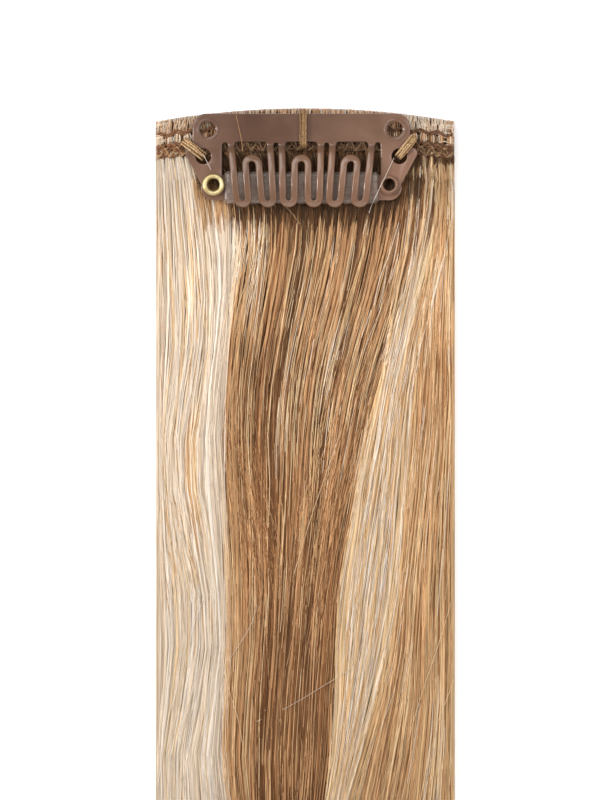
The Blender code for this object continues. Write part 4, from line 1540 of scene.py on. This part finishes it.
# Stray hairs: tone, points of the photograph and the height in millimetres over what lies under
STRAYS = (
    ("caramel", ((236, 115, 0.1), (238, 124, 0.25), (241, 138, 0.25), (243, 152, 0.1))),
    ("white_blond", ((203, 154, 0.1), (205, 158, 0.3), (208, 164, 0.4), (211, 170, 0.1))),
    ("white_blond", ((394, 158, 0.1), (388, 171, 0.2), (376, 196, 0.15), (370, 210, 0.2), (363, 234, 0.1))),
    ("gold", ((284, 205, 0.1), (291, 212, 0.4), (300, 224, 0.1))),
    ("cream", ((256, 722, 0.1), (290, 706, 0.32), (330, 682, 0.3), (352, 668, 0.1))),
    ("cream", ((257, 604, 0.1), (252, 622, 0.2), (241, 642, 0.25), (231, 657, 0.1))),
    ("beige", ((342, 428, 0.1), (326, 474, 0.3), (309, 524, 0.3), (294, 574, 0.1))),
    ("beige", ((454, 680, 0.1), (448, 696, 0.25), (438, 722, 0.1))),
    ("beige", ((452, 600, 0.1), (440, 640, 0.25), (420, 700, 0.2), (408, 742, 0.1))),
    ("white_blond", ((183, 640, 0.1), (176, 690, 0.15), (168, 720, 0.15), (157, 790, 0.1))),
    ("white_blond", ((203, 600, 0.1), (195, 620, 0.15), (190, 640, 0.15), (188, 668, 0.1))),
    ("beige", ((222, 652, 0.1), (229, 690, 0.2), (238, 720, 0.2), (243, 748, 0.1))),
    ("beige", ((262, 232, 0.1), (252, 268, 0.2), (240, 300, 0.2), (233, 330, 0.1))),
    ("white_blond", ((399, 222, 0.1), (390, 252, 0.2), (380, 278, 0.2), (374, 306, 0.1))),
)

# Points along a stray hair, its radius, and how far the ground is over the locks' surface
STRAY_POINTS = 40
STRAY_RADIUS = 0.000034
OVER_HAIR = 0.00014


def make_strays(tones):
    """Single hairs that have come loose over the rest."""
    names = sorted({row[0] for row in STRAYS})
    paths, tone = [], []
    for tone_name, points in STRAYS:
        rows = []
        for px, py, lift in points:
            x, y = float(at_x(px)), float(at_y(py))
            local_x, local_y = abs(x - CLIP_X), CLIP_TOP - y
            on_clip = local_x < CLIP_WIDTH / 2 and 0 < local_y < BAR_HEIGHT + COMB_REACH
            if on_clip and local_x < OPENING_HALF and local_y > BAR_HEIGHT:
                ground = SHEET_TOP + float(comb_rise(local_y - BAR_HEIGHT))
            elif on_clip:
                ground = SHEET_TOP
            elif y > HAIR_START:
                ground = WEFT_THICKNESS
            else:
                ground = float(hair_surface(np.array(x), np.array(y))) + OVER_HAIR
            rows.append((x, y, ground + lift * MM))
        paths.append(smooth_line(rows, STRAY_POINTS))
        tone.append(names.index(tone_name))
    strays = tubes("stray_hairs", paths, STRAY_RADIUS, [tones[n] for n in names], tone, sides=5)
    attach(strays, "clip")


# Camera, floor and light


def make_camera():
    """A long lens straight above, at the photograph's frame."""
    distance = 1.2
    data = bpy.data.cameras.new("camera")
    data.sensor_width = 36.0
    data.lens = data.sensor_width * distance / (FRAME_HEIGHT_PX * PIXEL)
    data.clip_start = 0.01
    data.clip_end = 10.0
    camera = new_object("camera", data)
    middle_x, middle_y = float(at_x(FRAME_WIDTH_PX / 2)), float(at_y(FRAME_HEIGHT_PX / 2))
    camera.location = (middle_x, middle_y, SHEET_LOW + distance)
    bpy.context.scene.camera = camera


def make_floor():
    """A plain pale floor under the hair."""
    mesh = bpy.data.meshes.new("floor")
    half = 1.5
    corners = [(-half, -half, 0), (half, -half, 0), (half, half, 0), (-half, half, 0)]
    mesh.from_pydata(corners, [], [(0, 1, 2, 3)])
    floor = new_object("floor", mesh)
    floor.location.z = -0.00002
    pale, white = (0.92, 0.92, 0.92, 1.0), (1.0, 1.0, 1.0, 1.0)
    made, _, _ = principled(
        "floor", Roughness=0.9, Base_Color=pale, Specular_IOR_Level=0.1,
        Emission_Color=white, Emission_Strength=0.35,
    )
    mesh.materials.append(made)


# Softboxes: place, size, power in watts
LIGHTS = (
    ("key", (-0.28, 0.42, 0.80), 0.55, 4.1),
    ("fill", (0.45, 0.05, 0.75), 0.60, 2.4),
    ("left_strip", (-0.60, 0.02, 0.40), 0.14, 3.4),
    ("low_front", (0.05, -0.60, 0.55), 0.50, 1.3),
)


def make_lights():
    """Soft studio light from four boxes and a pale surround."""
    for name, place, size, power in LIGHTS:
        data = bpy.data.lights.new(name, "AREA")
        data.shape = "SQUARE"
        data.size = size
        data.energy = power
        light = new_object(name, data)
        light.location = place
        light.rotation_euler = Vector(place).to_track_quat("Z", "Y").to_euler()
    world = bpy.data.worlds.new("studio")
    world.use_nodes = True
    set_inputs(world.node_tree.nodes["Background"], Color=(1.0, 0.99, 0.97, 1.0), Strength=0.30)
    bpy.context.scene.world = world


def main():
    """Build every piece of the scene."""
    bpy.context.scene.view_settings.view_transform = "Standard"
    make_camera()
    make_floor()
    make_lights()

    # Painted light and shade on the paint: darker at the bar's top and to the left, lighter to the right
    # and down the ears, the comb lit much brighter than the bar
    upper = ((ROOT_Y - 0.0005, 1.08), (ROOT_Y + 0.0004, 1.02), (CLIP_TOP, 0.94))
    across = (
        (-0.017, 0.84), (-0.0135, 0.86), (-0.008, (0.50, 0.40, 0.32)),
        (0.0, (0.77, 0.73, 0.70)), (0.012, 1.06), (0.017, 1.16),
    )
    comb_across = (
        (-0.011, (0.55, 0.52, 0.44)), (-0.004, (0.58, 0.58, 0.54)),
        (0.002, (0.65, 0.63, 0.56)), (0.011, (0.71, 0.71, 0.68)),
    )
    paint = paint_material("brown_paint", across, ((RIVET_Y - 0.0015, 1.30), *upper))
    comb_lit_paint = paint_material(
        "comb_lit_paint", comb_across, ((ROOT_Y - 0.0090, 1.78), (ROOT_Y - 0.0022, 1.72), *upper)
    )
    brass = brass_material()
    silicone = silicone_material()
    thread = thread_material("sewing_thread", (104, 74, 42), (184, 144, 98))
    dark_thread = thread_material("sewing_thread_dark", (86, 58, 32), (160, 122, 78))
    pale_thread = thread_material("sewing_thread_pale", (150, 114, 72), (224, 190, 142))
    rust = thread_material("rust_thread", (98, 56, 28), (178, 118, 70), True)
    tan_thread = thread_material("tan_thread", (142, 100, 62), (216, 172, 124), True)
    dark_row = thread_material("dark_row_thread", (78, 48, 28), (150, 102, 64), True)
    tones = {name: hair_material(name) for name in TONES}

    make_clip(paint, comb_lit_paint)
    make_crossbar(paint)
    make_sleeve(silicone)
    left_radius = (EYELET_HIGH.x - EYELET_LOW.x) / 2
    painted_radius = 0.00128
    make_eyelet("eyelet_ring_left", "eyelet_left", -1, left_radius, brass)
    make_eyelet("eyelet_ring_right", "eyelet_right", 1, painted_radius, paint)
    make_hole_rims(paint)
    make_threads([thread, dark_thread], [thread, pale_thread])
    make_weft_body(tones)
    make_weft_strands(tones)
    make_stitches(rust, tan_thread, dark_row)
    make_hair_body(tones)
    for number, row in enumerate(STREAMS):
        make_stream(number, row, tones)
    make_accents(tones)
    make_outside(tones)
    make_strays(tones)


main()
